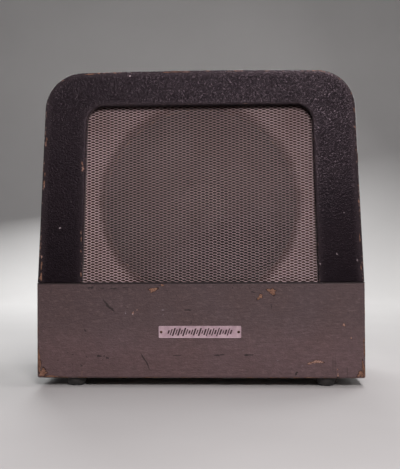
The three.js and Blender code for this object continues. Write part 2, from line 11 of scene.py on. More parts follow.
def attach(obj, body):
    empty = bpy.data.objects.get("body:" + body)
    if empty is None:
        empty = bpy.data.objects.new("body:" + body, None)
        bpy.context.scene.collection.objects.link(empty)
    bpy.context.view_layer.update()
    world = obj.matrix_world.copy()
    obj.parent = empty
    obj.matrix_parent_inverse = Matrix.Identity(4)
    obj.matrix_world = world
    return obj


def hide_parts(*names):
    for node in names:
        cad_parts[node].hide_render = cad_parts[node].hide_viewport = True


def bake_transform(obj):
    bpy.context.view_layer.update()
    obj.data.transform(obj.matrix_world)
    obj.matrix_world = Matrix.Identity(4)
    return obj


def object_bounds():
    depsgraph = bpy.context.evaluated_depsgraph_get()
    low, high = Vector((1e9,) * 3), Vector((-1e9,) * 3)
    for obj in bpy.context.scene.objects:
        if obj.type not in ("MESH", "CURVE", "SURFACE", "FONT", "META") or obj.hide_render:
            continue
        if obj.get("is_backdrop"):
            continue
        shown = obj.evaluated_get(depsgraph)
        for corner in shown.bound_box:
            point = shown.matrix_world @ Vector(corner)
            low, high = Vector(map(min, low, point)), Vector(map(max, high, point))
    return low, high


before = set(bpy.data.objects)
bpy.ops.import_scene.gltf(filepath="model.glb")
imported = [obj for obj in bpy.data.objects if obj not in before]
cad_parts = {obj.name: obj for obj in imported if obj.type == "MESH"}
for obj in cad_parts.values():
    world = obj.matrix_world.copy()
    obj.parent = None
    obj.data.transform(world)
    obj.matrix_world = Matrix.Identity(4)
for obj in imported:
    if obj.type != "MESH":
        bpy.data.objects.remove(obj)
cad_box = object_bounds()
scene = bpy.context.scene
MM = 0.001

# ------------------------------------------------------------------ driving dimensions
BOTTOM, SEAM, TOP = 13.0, 146.7, 446.0  # heights of the case
FRONT, BACK = -115.0, 115.0
HALF_BASE, HALF_SEAM = 229.0, 228.5  # half widths at the bottom and at the seam
TAPER = math.radians(2.2)  # the sides above the seam, inwards
LEAN = math.radians(3.0)  # the front above the seam, backwards
LEAN_COS, LEAN_SIN = math.cos(LEAN), math.sin(LEAN)
CORNER_R, CROWN = 54.0, 1.7  # upper corners and the bulge of the top
WALL, BOARD = 9.0, 12.0  # thicknesses
STEP = 1.5  # the leaning front sits this far behind the lower board
WALL_GAP = 0.3  # between the front boards and the bent wall
SEAM_GAP = 0.4  # kept clear on each side of the seam
OPEN_SEAM, OPEN_TOP = 165.6, 250.0  # grille opening: half width at the seam, and height
OPEN_SLOPE, OPEN_R = 0.0288, 24.0
DRIVER_RISE = 112.4  # driver centre, up the slope from the seam
GRILLE_DEPTH = 15.0
REAR_IN, REAR_OUT = 96.0, 106.0  # y of the rear panel's faces
FLAP_TOP, HINGE_Z = 162.5, 45
HANDLE_Y, HANDLE_Z = 5.0, 455.0  # the handle's pivot line
HANDLE_PLATE_TOP = TOP + 0.3 + 1.6


def lean(x, depth, rise):
    """A point of the leaning front: across, inwards, up the slope from the seam."""
    return (x, FRONT + depth * LEAN_COS + rise * LEAN_SIN,
            SEAM + rise * LEAN_COS - depth * LEAN_SIN)


def driver(u, depth, w):
    """A point of the driver: across, inwards, up the slope from its centre."""
    return lean(u, depth, DRIVER_RISE + w)


# ------------------------------------------------------------------ node materials
def srgb(r, g, b):
    """An sRGB 0-255 colour as linear."""
    def linear(c):
        return c / 12.92 if c <= 0.04045 else ((c + 0.055) / 1.055) ** 2.4
    return tuple(linear(c / 255) for c in (r, g, b))


def scaled(color, factor):
    return tuple(min(1, c * factor) for c in color)


class Mat:
    """A node material. Texture coordinates are millimetres in the piece's rest frame.

    Methods take numbers, colours or sockets and return a socket.
    """

    SHADER_INPUTS = {
        "color": "Base Color", "metal": "Metallic", "rough": "Roughness", "normal": "Normal",
        "coat": "Coat Weight", "coat_rough": "Coat Roughness", "spec": "Specular IOR Level",
        "tint": "Specular Tint", "sheen": "Sheen Weight",
    }

    def __init__(self, name):
        self.material = bpy.data.materials.new(name)
        self.material.use_nodes = True
        self.tree = self.material.node_tree
        self.tree.nodes.clear()
        output = self.node("OutputMaterial")
        self.shader = self.node("BsdfPrincipled")
        self.put(output.inputs[0], self.shader.outputs[0])
        rest = self.node("TexCoord").outputs["Object"]
        self.coords = self.node("Mapping", {"Scale": (1000, 1000, 1000), "Vector": rest}).outputs[0]

    def put(self, socket, value):
        if isinstance(value, bpy.types.NodeSocket):
            self.tree.links.new(value, socket)
        elif isinstance(value, tuple) and len(value) == 3 and socket.type == "RGBA":
            socket.default_value = (*value, 1)
        else:
            socket.default_value = value

    def node(self, kind, inputs=None, **settings):
        node = self.tree.nodes.new("ShaderNode" + kind)
        for key, value in settings.items():
            setattr(node, key, value)
        for key, value in (inputs or {}).items():
            self.put(node.inputs[key], value)
        return node

    def set(self, **values):
        """Sets inputs of the surface shader and returns the material."""
        for key, value in values.items():
            self.put(self.shader.inputs[self.SHADER_INPUTS[key]], value)
        return self.material

    def stretch(self, x=1, y=1, z=1, rot=(0, 0, 0)):
        """Coordinates scaled per axis; a small factor draws the pattern out along it."""
        return self.node("Mapping", {"Scale": (x, y, z), "Rotation": rot,
                                     "Vector": self.coords}).outputs[0]

    def noise(self, scale, detail=2.0, rough=0.5, distort=0.0, vec=None):
        return self.node("TexNoise", {"Scale": scale, "Detail": detail, "Roughness": rough,
                                      "Distortion": distort,
                                      "Vector": vec or self.coords}).outputs[0]

    def voronoi(self, scale, feature="F1", vec=None, smooth=None):
        node = self.node("TexVoronoi", {"Scale": scale, "Vector": vec or self.coords},
                         feature=feature)
        if smooth is not None:
            node.inputs["Smoothness"].default_value = smooth
        return node.outputs["Distance"]

    def wave(self, scale, direction, distort, vec=None):
        return self.node("TexWave", {"Scale": scale, "Distortion": distort,
                                     "Vector": vec or self.coords},
                         bands_direction=direction).outputs["Fac"]

    def calc(self, operation, a, b=0.0, clamp=False):
        return self.node("Math", {0: a, 1: b}, operation=operation, use_clamp=clamp).outputs[0]

    def add(self, a, b, clamp=False):
        return self.calc("ADD", a, b, clamp)

    def sub(self, a, b):
        return self.calc("SUBTRACT", a, b)

    def mul(self, a, b):
        return self.calc("MULTIPLY", a, b)

    def remap(self, value, start, end, to=(0.0, 1.0), smooth=True):
        """Turns start..end into the pair 'to', clamped; start may be above end."""
        return self.node("MapRange", {0: value, 1: start, 2: end, 3: to[0], 4: to[1]},
                         interpolation_type="SMOOTHSTEP" if smooth else "LINEAR",
                         clamp=True).outputs[0]

    def mix(self, fac, a, b, mode="MIX"):
        return self.node("Mix", {"Factor": fac, 6: a, 7: b}, data_type="RGBA",
                         blend_type=mode).outputs[2]

    def blend(self, fac, a, b):
        return self.node("Mix", {"Factor": fac, 2: a, 3: b}, data_type="FLOAT").outputs[0]

    def ramp(self, fac, *stops):
        """A colour ramp of three (position, colour) stops."""
        node = self.node("ValToRGB", {0: fac})
        elements = node.color_ramp.elements
        elements.new(0.5)
        for element, (position, color) in zip(elements, stops):
            element.position = position
            element.color = (*color, 1)
        return node.outputs[0]

    def bump(self, height, distance):
        return self.node("Bump", {"Distance": distance * MM, "Height": height}).outputs[0]

    def attr(self, name):
        return self.node("Attribute", attribute_name=name).outputs["Fac"]

    def xyz(self, vec=None):
        return self.node("SeparateXYZ", {0: vec or self.coords}).outputs

    def edge(self, radius):
        """1 on sharp edges, 0 on flats."""
        rounded = self.node("Bevel", {"Radius": radius * MM}, samples=4)
        geometry = self.node("NewGeometry")
        match = self.node("VectorMath", {0: rounded.outputs[0], 1: geometry.outputs["Normal"]},
                          operation="DOT_PRODUCT")
        return self.remap(match.outputs["Value"], 0.99, 0.85)


# ------------------------------------------------------------------ wood
def wood_color(m, along=(0.05, 0.6, 0.6)):
    """Wood colour and its grain; the grain runs along the axis with the smallest factor."""
    stretched = m.stretch(*along)
    grain = m.noise(scale=1.0, detail=4, rough=0.6, distort=0.6, vec=stretched)
    fine = m.noise(scale=3.2, detail=3, rough=0.6, vec=stretched)
    color = m.ramp(grain, (0.3, srgb(88, 58, 46)), (0.55, srgb(120, 84, 68)),
                   (0.75, srgb(146, 110, 90)))
    return m.mix(m.remap(fine, 0.3, 0.7, to=(0, 0.35)), color, srgb(164, 134, 116)), grain


def plywood(name, tint=(1, 1, 1), dusty=0.25):
    m = Mat(name)
    color, grain = wood_color(m, along=(0.035, 0.5, 0.35))
    # layers of the ply where its edge shows
    layers = m.wave(scale=0.42, direction="Y", distort=0.4)
    normal = m.node("NewGeometry").outputs["Normal"]
    edge = m.remap(m.calc("ABSOLUTE", m.xyz(normal)[1]), 0.5, 0.2)
    color = m.mix(m.mul(edge, m.remap(layers, 0.35, 0.65, to=(0, 0.5))), color, srgb(84, 52, 34))
    dust = m.remap(m.noise(scale=0.02, detail=3), 0.4, 0.7, to=(0, dusty))
    color = m.mix(dust, color, srgb(70, 52, 44))
    color = m.mix(1.0, color, tint, "MULTIPLY")
    return m.set(color=color, rough=m.remap(grain, 0.3, 0.7, to=(0.6, 0.85)),
                 normal=m.bump(grain, distance=0.12))


def baffle_stain():
    m = Mat("baffle_stain")
    color, grain = wood_color(m, along=(0.03, 0.5, 0.4))
    color = m.mix(0.97, color, srgb(26, 12, 11))
    cloud = m.remap(m.noise(scale=0.03, detail=3), 0.4, 0.7, to=(0, 0.4))
    color = m.mix(cloud, color, srgb(34, 17, 15))
    return m.set(color=color, rough=0.9, spec=0.2, normal=m.bump(grain, distance=0.12))


def chip_wood(name, pale=False):
    """Bare wood in a chip, darker towards its ragged rim (attribute 'core' is 0 there): dirt there,
    with painted shade of the step down from the paint.
    """
    m = Mat(name)
    color, grain = wood_color(m, along=(0.12, 0.9, 0.5))
    spots = m.noise(scale=0.8, detail=3, rough=0.6)
    ragged = m.noise(scale=0.55, detail=4, rough=0.7)
    core = m.add(m.attr("core"), m.mul(m.sub(ragged, 0.5), 0.9))
    spot_color = srgb(190, 158, 150) if pale else srgb(82, 55, 45)
    rim_dirt_and_shade_color = srgb(64, 46, 44) if pale else srgb(46, 33, 32)
    color = m.mix(m.remap(spots, 0.45, 0.65, to=(0, 0.75)), color, spot_color)
    color = m.mix(m.remap(core, 0.3, 0.1), color, rim_dirt_and_shade_color)
    height = m.add(grain, m.add(spots, m.remap(core, 0.1, 0.4)))
    return m.set(color=color, rough=0.82, spec=0.2, normal=m.bump(height, distance=0.25))


# ------------------------------------------------------------------ paint
class Paint(Mat):
    """Old spatter-textured paint over plywood, worn through to the wood."""

    def __init__(self, name):
        super().__init__(name)
        self.x, _, self.z = self.xyz()
        self.blobs = self.noise(scale=0.34, detail=1.5, rough=0.45, distort=1.0,
                                vec=self.stretch(1.0, 1.0, 1.25))
        cells = self.voronoi(0.42, "SMOOTH_F1", vec=self.stretch(1, 1, 1.3), smooth=0.6)
        self.fine = self.noise(scale=1.5, detail=3, rough=0.6)
        relief = self.add(self.mul(self.remap(self.blobs, 0.38, 0.62), 0.55),
                          self.mul(cells, 0.55))
        self.relief = self.add(relief, self.mul(self.fine, 0.08))

    def cloud(self, strength):
        return self.remap(self.noise(scale=0.012, detail=4, rough=0.55), 0.35, 0.7,
                          to=(0, strength))

    def dark_base(self, painted_light_lift=1.0):
        color = self.ramp(self.blobs, (0.3, scaled(srgb(13, 9, 12), painted_light_lift)),
                          (0.5, scaled(srgb(17, 12, 16), painted_light_lift)),
                          (0.7, scaled(srgb(23, 17, 21), painted_light_lift)))
        return self.mix(self.cloud(0.4), color, scaled(srgb(12, 10, 15), painted_light_lift))

    def grey_base(self):
        return self.ramp(self.blobs, (0.3, srgb(78, 61, 61)), (0.55, srgb(86, 68, 68)),
                         (0.75, srgb(95, 76, 75)))

    def streaked(self, color, streak):
        return self.mix(self.remap(streak, 0.48, 0.72, to=(0, 0.3)), color, srgb(74, 60, 64))

    def dark_rough(self):
        return self.remap(self.fine, 0.3, 0.7, to=(0.24, 0.32))

    def wear_through(self, color, rough, relief, wear, wood, amount, bump):
        """Sets the surface, with ragged patches of bare wood where wear is high."""
        rag = self.noise(scale=0.16, detail=5, rough=0.65)
        fine_rag = self.noise(scale=0.9, detail=3, rough=0.6)
        level = self.add(self.mul(rag, 0.8), self.mul(fine_rag, 0.2))

        def excess():
            return self.sub(self.add(self.mul(wear, amount), level), 1.0)

        bare = self.remap(excess(), -0.012, 0.012)
        rim = self.remap(excess(), -0.05, -0.01)
        polish = self.mul(wear, self.remap(fine_rag, 0.3, 0.7, to=(0.15, 0.5)))
        color = self.mix(polish, color, self.mix(0.25, color, srgb(150, 132, 138)))
        color = self.mix(self.mul(rim, 0.45), color, srgb(150, 130, 128))
        color = self.mix(bare, color, wood)
        rough = self.blend(bare, rough, 0.8)
        # handling has rubbed the spatter down and polished it along the edges
        relief = self.mul(relief, self.remap(wear, 0.45, 0.95, to=(1.0, 0.42)))
        rough = self.mul(rough, self.remap(wear, 0.45, 0.95, to=(1.0, 0.8)))
        height = self.sub(relief, self.mul(bare, 0.9))
        self.set(color=color, rough=rough, normal=self.bump(height, bump))

    def painted_sheen_gradient(self):
        """Painted sheen: the specular level is raised at the top and lowered lower down and down the
        right side, to stand for how the light falls.
        """
        x, z = self.x, self.z
        painted_sheen = self.add(self.remap(z, 150.0, 435.0, to=(0.07, 0.245), smooth=False),
                         self.remap(x, 60.0, 230.0, to=(0.0, -0.014), smooth=False))
        band = self.mul(self.remap(z, 400.0, 350.0),
                        self.remap(z, 160.0, 270.0, to=(0.35, 1.0)))
        painted_sheen = self.sub(painted_sheen, self.mul(self.remap(x, 120.0, 180.0, to=(0.0, 0.052)), band))
        self.set(spec=painted_sheen, tint=(1.0, 0.79, 0.91))


def paint_dark(name, rear=False):
    """Dark paint. At the rear its colours are lifted and its sheen raised as painted light for the
    dim rear, it is dusty, and its wear follows the edges.
    """
    m = Paint(name)
    # painted light: at the rear the colours are lifted well above the front's
    base = m.dark_base(painted_light_lift=2.6 if rear else 1.0)
    if rear:
        dust = m.noise(scale=0.25, detail=5, rough=0.65)
        base = m.mix(m.remap(dust, 0.45, 0.75, to=(0, 0.16)), base, srgb(92, 82, 78))
        low = m.mul(m.remap(m.z, 90.0, 20.0),
                    m.remap(m.noise(scale=0.12, detail=4, rough=0.7), 0.4, 0.65))
        base = m.mix(m.mul(low, 0.22), base, srgb(104, 94, 88))
        # faint rubbed streaks
        rub = m.noise(scale=0.9, detail=4, rough=0.7, vec=m.stretch(0.1, 1, 0.9, rot=(0, 0.3, 0)))
        base = m.mix(m.remap(rub, 0.68, 0.76, to=(0, 0.4)), base, srgb(110, 100, 98))
    # pale specks of dust and old paint
    speck = m.remap(m.voronoi(0.11), 0.055, 0.03)
    keep = m.remap(m.noise(scale=0.05, detail=1), 0.52, 0.6)
    base = m.mix(m.mul(m.mul(speck, keep), 0.35), base, srgb(150, 146, 152))
    # the spatter is bolder near the top, flatter down the right side
    relief = m.mul(m.relief, m.remap(m.z, 300.0, 400.0, to=(0.8, 1.25)))
    relief = m.mul(relief, m.calc("MAXIMUM", m.remap(m.x, 130.0, 190.0, to=(1.0, 0.74)),
                                  m.remap(m.z, 350.0, 400.0)))
    m.wear_through(base, m.dark_rough(), relief, wear=m.edge(2.0) if rear else m.attr("wear"),
                   wood=wood_color(m)[0], amount=0.42, bump=0.9)
    if rear:
        # painted sheen: one raised specular level over the whole rear
        m.set(spec=0.3)
    else:
        m.painted_sheen_gradient()
    return m.material


def panel_wear(m):
    """Wear near the outline of the lower front board, less along its top."""
    x, _, z = m.xyz()
    side = m.sub(HALF_BASE, m.calc("ABSOLUTE", x))
    low = m.sub(z, BOTTOM)
    high = m.sub(SEAM - SEAM_GAP, z)
    distance = m.calc("MINIMUM", m.calc("MINIMUM", side, low), m.add(high, 2.6))
    return m.remap(distance, 5.0, 0.5)


def paint_grey():
    """Grey paint of the lower front board."""
    m = Paint("paint_grey_panel")
    x, z = m.x, m.z
    base = m.mix(m.cloud(0.5), m.grey_base(), srgb(86, 72, 76))
    streak = m.noise(scale=0.8, detail=3, rough=0.6, vec=m.stretch(0.09, 0.4, 1.1))
    base = m.streaked(base, streak)
    upright = m.noise(scale=0.8, detail=2, rough=0.6, vec=m.stretch(0.8, 0.4, 0.03))
    base = m.mix(m.remap(upright, 0.62, 0.75, to=(0, 0.35)), base, srgb(70, 56, 60))
    # dirt gathered under the grille
    spots = m.noise(scale=0.55, detail=4, rough=0.7)
    near = m.remap(z, 128.0, 145.0)
    inside = m.remap(m.calc("ABSOLUTE", x), 175.0, 160.0)
    dirt = m.mul(m.mul(near, inside), m.remap(spots, 0.5, 0.62))
    base = m.mix(m.mul(dirt, 0.7), base, srgb(38, 30, 32))
    # darker towards the top, warmer towards the bottom
    base = m.mix(m.remap(z, 55.0, 140.0, to=(0, 0.45)), base, srgb(62, 47, 48))
    base = m.mix(m.remap(z, 100.0, 40.0, to=(0, 0.32)), base, srgb(110, 84, 86))
    # mottled, with faint rubbed bands along the board
    mottle = m.noise(scale=0.3, detail=4, rough=0.65, vec=m.stretch(0.45, 1, 1.1))
    base = m.mix(m.remap(mottle, 0.35, 0.65, to=(0.32, 0)), base, srgb(58, 44, 45))
    base = m.mix(m.remap(mottle, 0.56, 0.76, to=(0, 0.3)), base, srgb(124, 104, 102))
    # dark line where the upper board stands on this one: painted shadow of the joint, with some dirt
    base = m.mix(m.mul(m.remap(z, 143.6, 144.9), 0.8), base, srgb(16, 11, 12))
    # scattered dark knocks
    knock = m.remap(m.voronoi(0.045, vec=m.stretch(1, 1, 1.7)), 0.06, 0.035)
    base = m.mix(m.mul(knock, 0.55), base, srgb(44, 34, 32))
    relief = m.add(m.mul(m.relief, 0.5), m.add(m.mul(streak, 0.9), m.mul(mottle, 0.8)))
    m.wear_through(base, m.remap(m.fine, 0.3, 0.7, to=(0.5, 0.64)), relief,
                   wear=panel_wear(m), wood=wood_color(m)[0], amount=0.5, bump=0.6)
    return m.set(spec=0.28)


def paint_case():
    """The bent wall: dark above the seam, warm grey below it."""
    m = Paint("paint_case")
    dark = m.dark_base()
    streak = m.noise(scale=0.8, detail=3, rough=0.6, vec=m.stretch(0.4, 0.09, 1.1))
    grey = m.streaked(m.grey_base(), streak)
    # the two paints meet in a slightly ragged line
    line = m.add(m.z, m.mul(m.sub(m.fine, 0.5), 0.9))
    upper = m.remap(line, SEAM - 0.15, SEAM + 0.15)
    base = m.mix(upper, grey, dark)
    scuff = m.noise(scale=0.5, detail=4, rough=0.7, vec=m.stretch(1, 0.12, 0.35, rot=(0.25, 0, 0)))
    base = m.mix(m.mul(m.remap(scuff, 0.66, 0.74), 0.3), base, srgb(128, 112, 112))
    rough = m.blend(upper, m.remap(m.fine, 0.3, 0.7, to=(0.44, 0.6)), m.dark_rough())
    relief = m.blend(upper, m.mul(m.relief, 0.6), m.relief)
    m.wear_through(base, rough, relief, wear=m.attr("wear"),
                   wood=wood_color(m, along=(0.6, 0.05, 0.6))[0], amount=0.44, bump=0.85)
    m.painted_sheen_gradient()
    return m.material


# ------------------------------------------------------------------ metals
def metal(name, color, tarnish, rough, brush, amount, pit=0.1):
    """Brushed metal. The brush factors draw its lines out, amount is the share of tarnish."""
    m = Mat(name)
    lines = m.noise(scale=2.2, detail=3, rough=0.6, vec=m.stretch(*brush))
    blot = m.noise(scale=0.08, detail=4, rough=0.6)
    fine = m.noise(scale=0.9, detail=3, rough=0.7)
    dull = m.remap(m.add(m.mul(blot, 0.7), m.mul(fine, 0.3)), 0.42, 0.62, to=(0, amount))
    shade_color = m.mix(m.mul(m.edge(0.8), 0.35), m.mix(dull, color, tarnish),
                        scaled(color, 1.35))
    roughness = m.add(m.remap(lines, 0.3, 0.7, to=(rough - 0.07, rough + 0.08)),
                      m.mul(dull, 0.4), clamp=True)
    return m.set(color=shade_color, metal=1.0, rough=roughness,
                 normal=m.bump(m.add(lines, m.mul(fine, 0.5)), pit))


def hammer_enamel():
    m = Mat("hammer_enamel")
    color, rough = srgb(74, 82, 84), 0.35
    dents = m.voronoi(0.35, "SMOOTH_F1", smooth=0.8)
    fine = m.noise(scale=1.3, detail=3, rough=0.6)
    enamel = m.mix(m.remap(dents, 0.1, 0.6), scaled(color, 1.35), scaled(color, 0.8))
    grime = m.remap(m.noise(scale=0.04, detail=4), 0.5, 0.75, to=(0, 0.4))
    enamel = m.mix(grime, enamel, srgb(60, 54, 48))
    ragged_edge = m.add(m.mul(m.edge(1.0), 0.45), m.noise(scale=0.3, detail=4, rough=0.6))
    chip = m.remap(ragged_edge, 0.86, 0.9)
    return m.set(color=m.mix(chip, enamel, srgb(140, 132, 126)),
                 metal=m.blend(chip, 0.15, 0.9),
                 rough=m.remap(fine, 0.3, 0.7, to=(rough - 0.06, rough + 0.1)),
                 normal=m.bump(m.add(dents, m.mul(fine, 0.2)), distance=0.25))


def grille_metal():
    """Bright expanded metal gone slightly pink-grey, with dirt along its foot, and painted shade and
    light across it.
    """
    m = Mat("expanded_metal")
    x, y, z = m.xyz()
    blot = m.noise(scale=0.02, detail=4, rough=0.6)
    fine = m.noise(scale=0.7, detail=3, rough=0.7)
    color = m.mix(m.remap(blot, 0.35, 0.7), srgb(188, 166, 168), srgb(172, 149, 150))
    color = m.mix(m.remap(fine, 0.55, 0.8, to=(0, 0.5)), color, srgb(110, 90, 88))
    # painted shade: a darker round zone centred on the driver stands for the shade of the hole
    # behind the grille
    _, centre_y, centre_z = driver(0, GRILLE_DEPTH, 0)
    dy = m.sub(y, centre_y)
    dz = m.sub(z, centre_z)
    radius = m.calc("SQRT", m.add(m.mul(x, x), m.add(m.mul(dy, dy), m.mul(dz, dz))))
    radius = m.add(radius, m.mul(m.sub(m.noise(scale=0.05, detail=3), 0.5), 10.0))
    painted_hole_shade = m.remap(radius, 148.0, 138.0)
    color = m.mix(m.mul(painted_hole_shade, 0.52), color, srgb(108, 90, 89))
    low = m.remap(z, 158.0, 147.0)
    color = m.mix(m.mul(low, m.remap(fine, 0.35, 0.6, to=(0, 0.3))), color, srgb(80, 62, 58))
    # painted light and shade: brighter towards the upper left, darker towards the lower right and
    # lower down, most of all low in the round zone
    painted_light_falloff = m.add(m.remap(z, 150.0, 395.0, to=(-0.06, 0.12), smooth=False),
                  m.remap(x, -165.0, 165.0, to=(1.12, 0.42), smooth=False))
    painted_light_falloff = m.mul(painted_light_falloff, m.remap(z, 150.0, 352.0, to=(0.73, 0.85)))
    painted_light_falloff = m.mul(painted_light_falloff, m.blend(painted_hole_shade, 1.0, m.remap(z, 185.0, 352.0, to=(0.68, 0.95))))
    color = m.node("VectorMath", {0: color, "Scale": painted_light_falloff}, operation="SCALE").outputs[0]
    return m.set(color=color, metal=0.85, rough=m.remap(fine, 0.3, 0.7, to=(0.38, 0.48)),
                 normal=m.bump(fine, distance=0.05))


def badge_metal():
    m = Mat("badge_metal")
    lines = m.noise(scale=2.0, detail=3, rough=0.6, vec=m.stretch(0.03, 1, 1))
    blot = m.noise(scale=0.12, detail=4, rough=0.6)
    color = m.mix(m.remap(blot, 0.35, 0.7), srgb(186, 161, 169), srgb(164, 138, 147))
    specks = m.remap(m.noise(scale=0.9, detail=3, rough=0.7), 0.6, 0.75, to=(0, 0.5))
    color = m.mix(specks, color, srgb(120, 96, 100))
    return m.set(color=color, metal=0.35, rough=m.remap(lines, 0.3, 0.7, to=(0.4, 0.52)),
                 normal=m.bump(lines, distance=0.03))


def wire_turns():
    m = Mat("wire_turns")
    turns = m.wave(scale=3.2, direction="Y", distort=0.05)
    patchy = m.noise(scale=0.8, detail=3)
    return m.set(color=m.mix(turns, srgb(92, 40, 22), srgb(196, 116, 70)), metal=0.7,
                 rough=m.remap(patchy, 0.3, 0.7, to=(0.28, 0.42)),
                 normal=m.bump(turns, distance=0.15))


# ------------------------------------------------------------------ paper, cloth, rubber, leather
def cone_paper(name, color):
    m = Mat(name)
    felt = m.noise(scale=1.6, detail=5, rough=0.75)
    fibre = m.noise(scale=0.6, detail=4, rough=0.7, distort=2.0, vec=m.stretch())
    paper = m.mix(m.remap(felt, 0.35, 0.7), scaled(color, 0.75), scaled(color, 1.5))
    paper = m.mix(m.remap(fibre, 0.6, 0.72, to=(0, 0.35)), paper, scaled(color, 2.4))
    dust = m.remap(m.noise(scale=0.03, detail=3), 0.4, 0.75, to=(0, 0.3))
    paper = m.mix(dust, paper, scaled(color, 2.5))
    return m.set(color=paper, rough=0.92, spec=0.25,
                 normal=m.bump(m.add(felt, fibre), distance=0.25))


def varnished_cloth():
    m = Mat("varnished_cloth")
    color = srgb(132, 108, 66)
    plain = m.stretch()
    weave = m.mul(m.wave(scale=0.5, direction="X", distort=0.2, vec=plain),
                  m.wave(scale=0.5, direction="Z", distort=0.2, vec=plain))
    cloth = m.mix(weave, scaled(color, 0.55), scaled(color, 1.25))
    cloud = m.remap(m.noise(scale=0.06, detail=3), 0.4, 0.7, to=(0, 0.35))
    cloth = m.mix(cloud, cloth, scaled(color, 0.6))
    return m.set(color=cloth, rough=0.75, sheen=0.2, normal=m.bump(weave, distance=0.25))


def rubber(name, color):
    m = Mat(name)
    grit = m.noise(scale=2.0, detail=4, rough=0.7)
    cloud = m.noise(scale=0.1, detail=4, rough=0.6)
    tone = m.mix(m.remap(cloud, 0.4, 0.7, to=(0, 0.6)), color, scaled(color, 3.2))
    tone = m.mix(m.remap(grit, 0.62, 0.8, to=(0, 0.4)), tone, srgb(96, 88, 80))
    return m.set(color=tone, rough=m.remap(cloud, 0.3, 0.7, to=(0.55, 0.8)),
                 normal=m.bump(grit, distance=0.12))


def leather():
    m = Mat("grip_leather")
    pebbles = m.voronoi(0.75, "SMOOTH_F1", vec=m.stretch(1, 1.1, 1), smooth=0.5)
    crease = m.voronoi(0.4, "DISTANCE_TO_EDGE")
    fine = m.noise(scale=2.4, detail=4, rough=0.6)
    rubbed = m.noise(scale=0.06, detail=4, rough=0.6)
    color = m.mix(m.remap(pebbles, 0.1, 0.7), srgb(74, 50, 38), srgb(40, 26, 20))
    color = m.mix(m.remap(crease, 0.12, 0.0, to=(0, 0.6)), color, srgb(20, 13, 10))
    color = m.mix(m.remap(rubbed, 0.48, 0.68, to=(0, 0.5)), color, srgb(116, 82, 58))
    height = m.sub(m.add(m.mul(fine, 0.3), crease), m.mul(pebbles, 0.6))
    return m.set(color=color, rough=m.remap(rubbed, 0.4, 0.7, to=(0.55, 0.38)), coat=0.12,
                 coat_rough=0.35, normal=m.bump(height, distance=0.3))


def phenolic():
    m = Mat("phenolic")
    swirl = m.noise(scale=0.16, detail=4, rough=0.6, distort=2.5)
    fine = m.noise(scale=2.0, detail=3, rough=0.6)
    return m.set(color=m.mix(m.remap(swirl, 0.45, 0.7), srgb(26, 18, 15), srgb(58, 34, 24)),
                 rough=m.remap(fine, 0.3, 0.7, to=(0.22, 0.38)), coat=0.3, coat_rough=0.15,
                 normal=m.bump(fine, distance=0.03))


def cork():
    m = Mat("cork_board")
    grains = m.voronoi(0.55)
    fine = m.noise(scale=1.4, detail=4, rough=0.7)
    color = m.mix(grains, srgb(150, 110, 74), srgb(88, 58, 38))
    color = m.mix(m.remap(fine, 0.55, 0.7, to=(0, 0.7)), color, srgb(52, 34, 24))
    return m.set(color=color, rough=0.9, normal=m.bump(m.add(grains, fine), distance=0.3))


def laminate():
    m = Mat("laminated_board")
    across = m.wave(scale=1.0, direction="X", distort=0.5)
    upright = m.wave(scale=1.0, direction="Z", distort=0.5)
    patchy = m.noise(scale=1, detail=3)
    return m.set(color=m.mix(m.mul(across, upright), srgb(70, 40, 22), srgb(118, 72, 40)),
                 rough=m.remap(patchy, 0.3, 0.7, to=(0.35, 0.5)),
                 normal=m.bump(m.add(across, upright), distance=0.05))


def plain(name, color, rough=0.8):
    """One slightly uneven colour, for marks, sleeves and thread."""
    m = Mat(name)
    patchy = m.noise(scale=1.2, detail=3, rough=0.6)
    return m.set(color=m.mix(patchy, scaled(color, 0.6), scaled(color, 1.3)), rough=rough,
                 normal=m.bump(patchy, distance=0.05))


# ------------------------------------------------------------------ materials in use
DARK = paint_dark("paint_dark")
CASE = paint_case()
GREY = paint_grey()
PLY = plywood("bare_plywood")
PLY_IN = plywood("case_inside", tint=(0.55, 0.5, 0.48), dusty=0.5)
GRILLE = grille_metal()
BRASS = metal("worn_brass", srgb(176, 148, 98), tarnish=srgb(112, 88, 60), rough=0.36,
              brush=(0.05, 1, 1), amount=0.45)
STEEL = metal("bare_steel", srgb(176, 172, 170), tarnish=srgb(90, 72, 60), rough=0.36,
              brush=(1, 0.05, 1), amount=0.35)
PLATED = metal("worn_plating", srgb(206, 200, 194), tarnish=srgb(120, 104, 92), rough=0.24,
               brush=(0.05, 1, 1), amount=0.4)
ALNICO = metal("cast_magnet", srgb(120, 120, 122), tarnish=srgb(70, 62, 58), rough=0.55,
               brush=(1, 1, 1), amount=0.5, pit=0.3)
ENAMEL = hammer_enamel()
PAPER = cone_paper("black_cone_paper", srgb(27, 23, 22))
TAN_PAPER = cone_paper("tan_former_paper", srgb(128, 96, 62))
CLOTH = varnished_cloth()
CORK = cork()
COPPER = wire_turns()
BRAID = metal("copper_braid", srgb(186, 112, 70), tarnish=srgb(96, 60, 40), rough=0.4,
              brush=(1, 1, 1), amount=0.5)
LAMINATE = laminate()
RUBBER = rubber("foot_rubber", (0.018, 0.016, 0.015))
CABLE = rubber("cable_rubber", (0.022, 0.019, 0.016))
LEATHER = leather()
BAKELITE = phenolic()
CHIP = chip_wood("bare_wood")
CHIP_PALE = chip_wood("bare_wood_pale", pale=True)
PRIMER = plain("old_primer", srgb(176, 162, 166))
PRIMER_DIM = plain("old_primer_grey", srgb(118, 106, 110))
SCRATCH = plain("dark_scratch", srgb(40, 28, 28))
THREAD = plain("waxed_thread", srgb(170, 140, 96))


# ------------------------------------------------------------------ mesh helpers
# A shape is a (points, faces) pair.
def shade(mesh, sharp):
    """Smooth shading, with edges above the sharp angle (degrees) kept hard."""
    mesh.polygons.foreach_set("use_smooth", [True] * len(mesh.polygons))
    if sharp:
        mesh.set_sharp_from_angle(angle=math.radians(sharp))


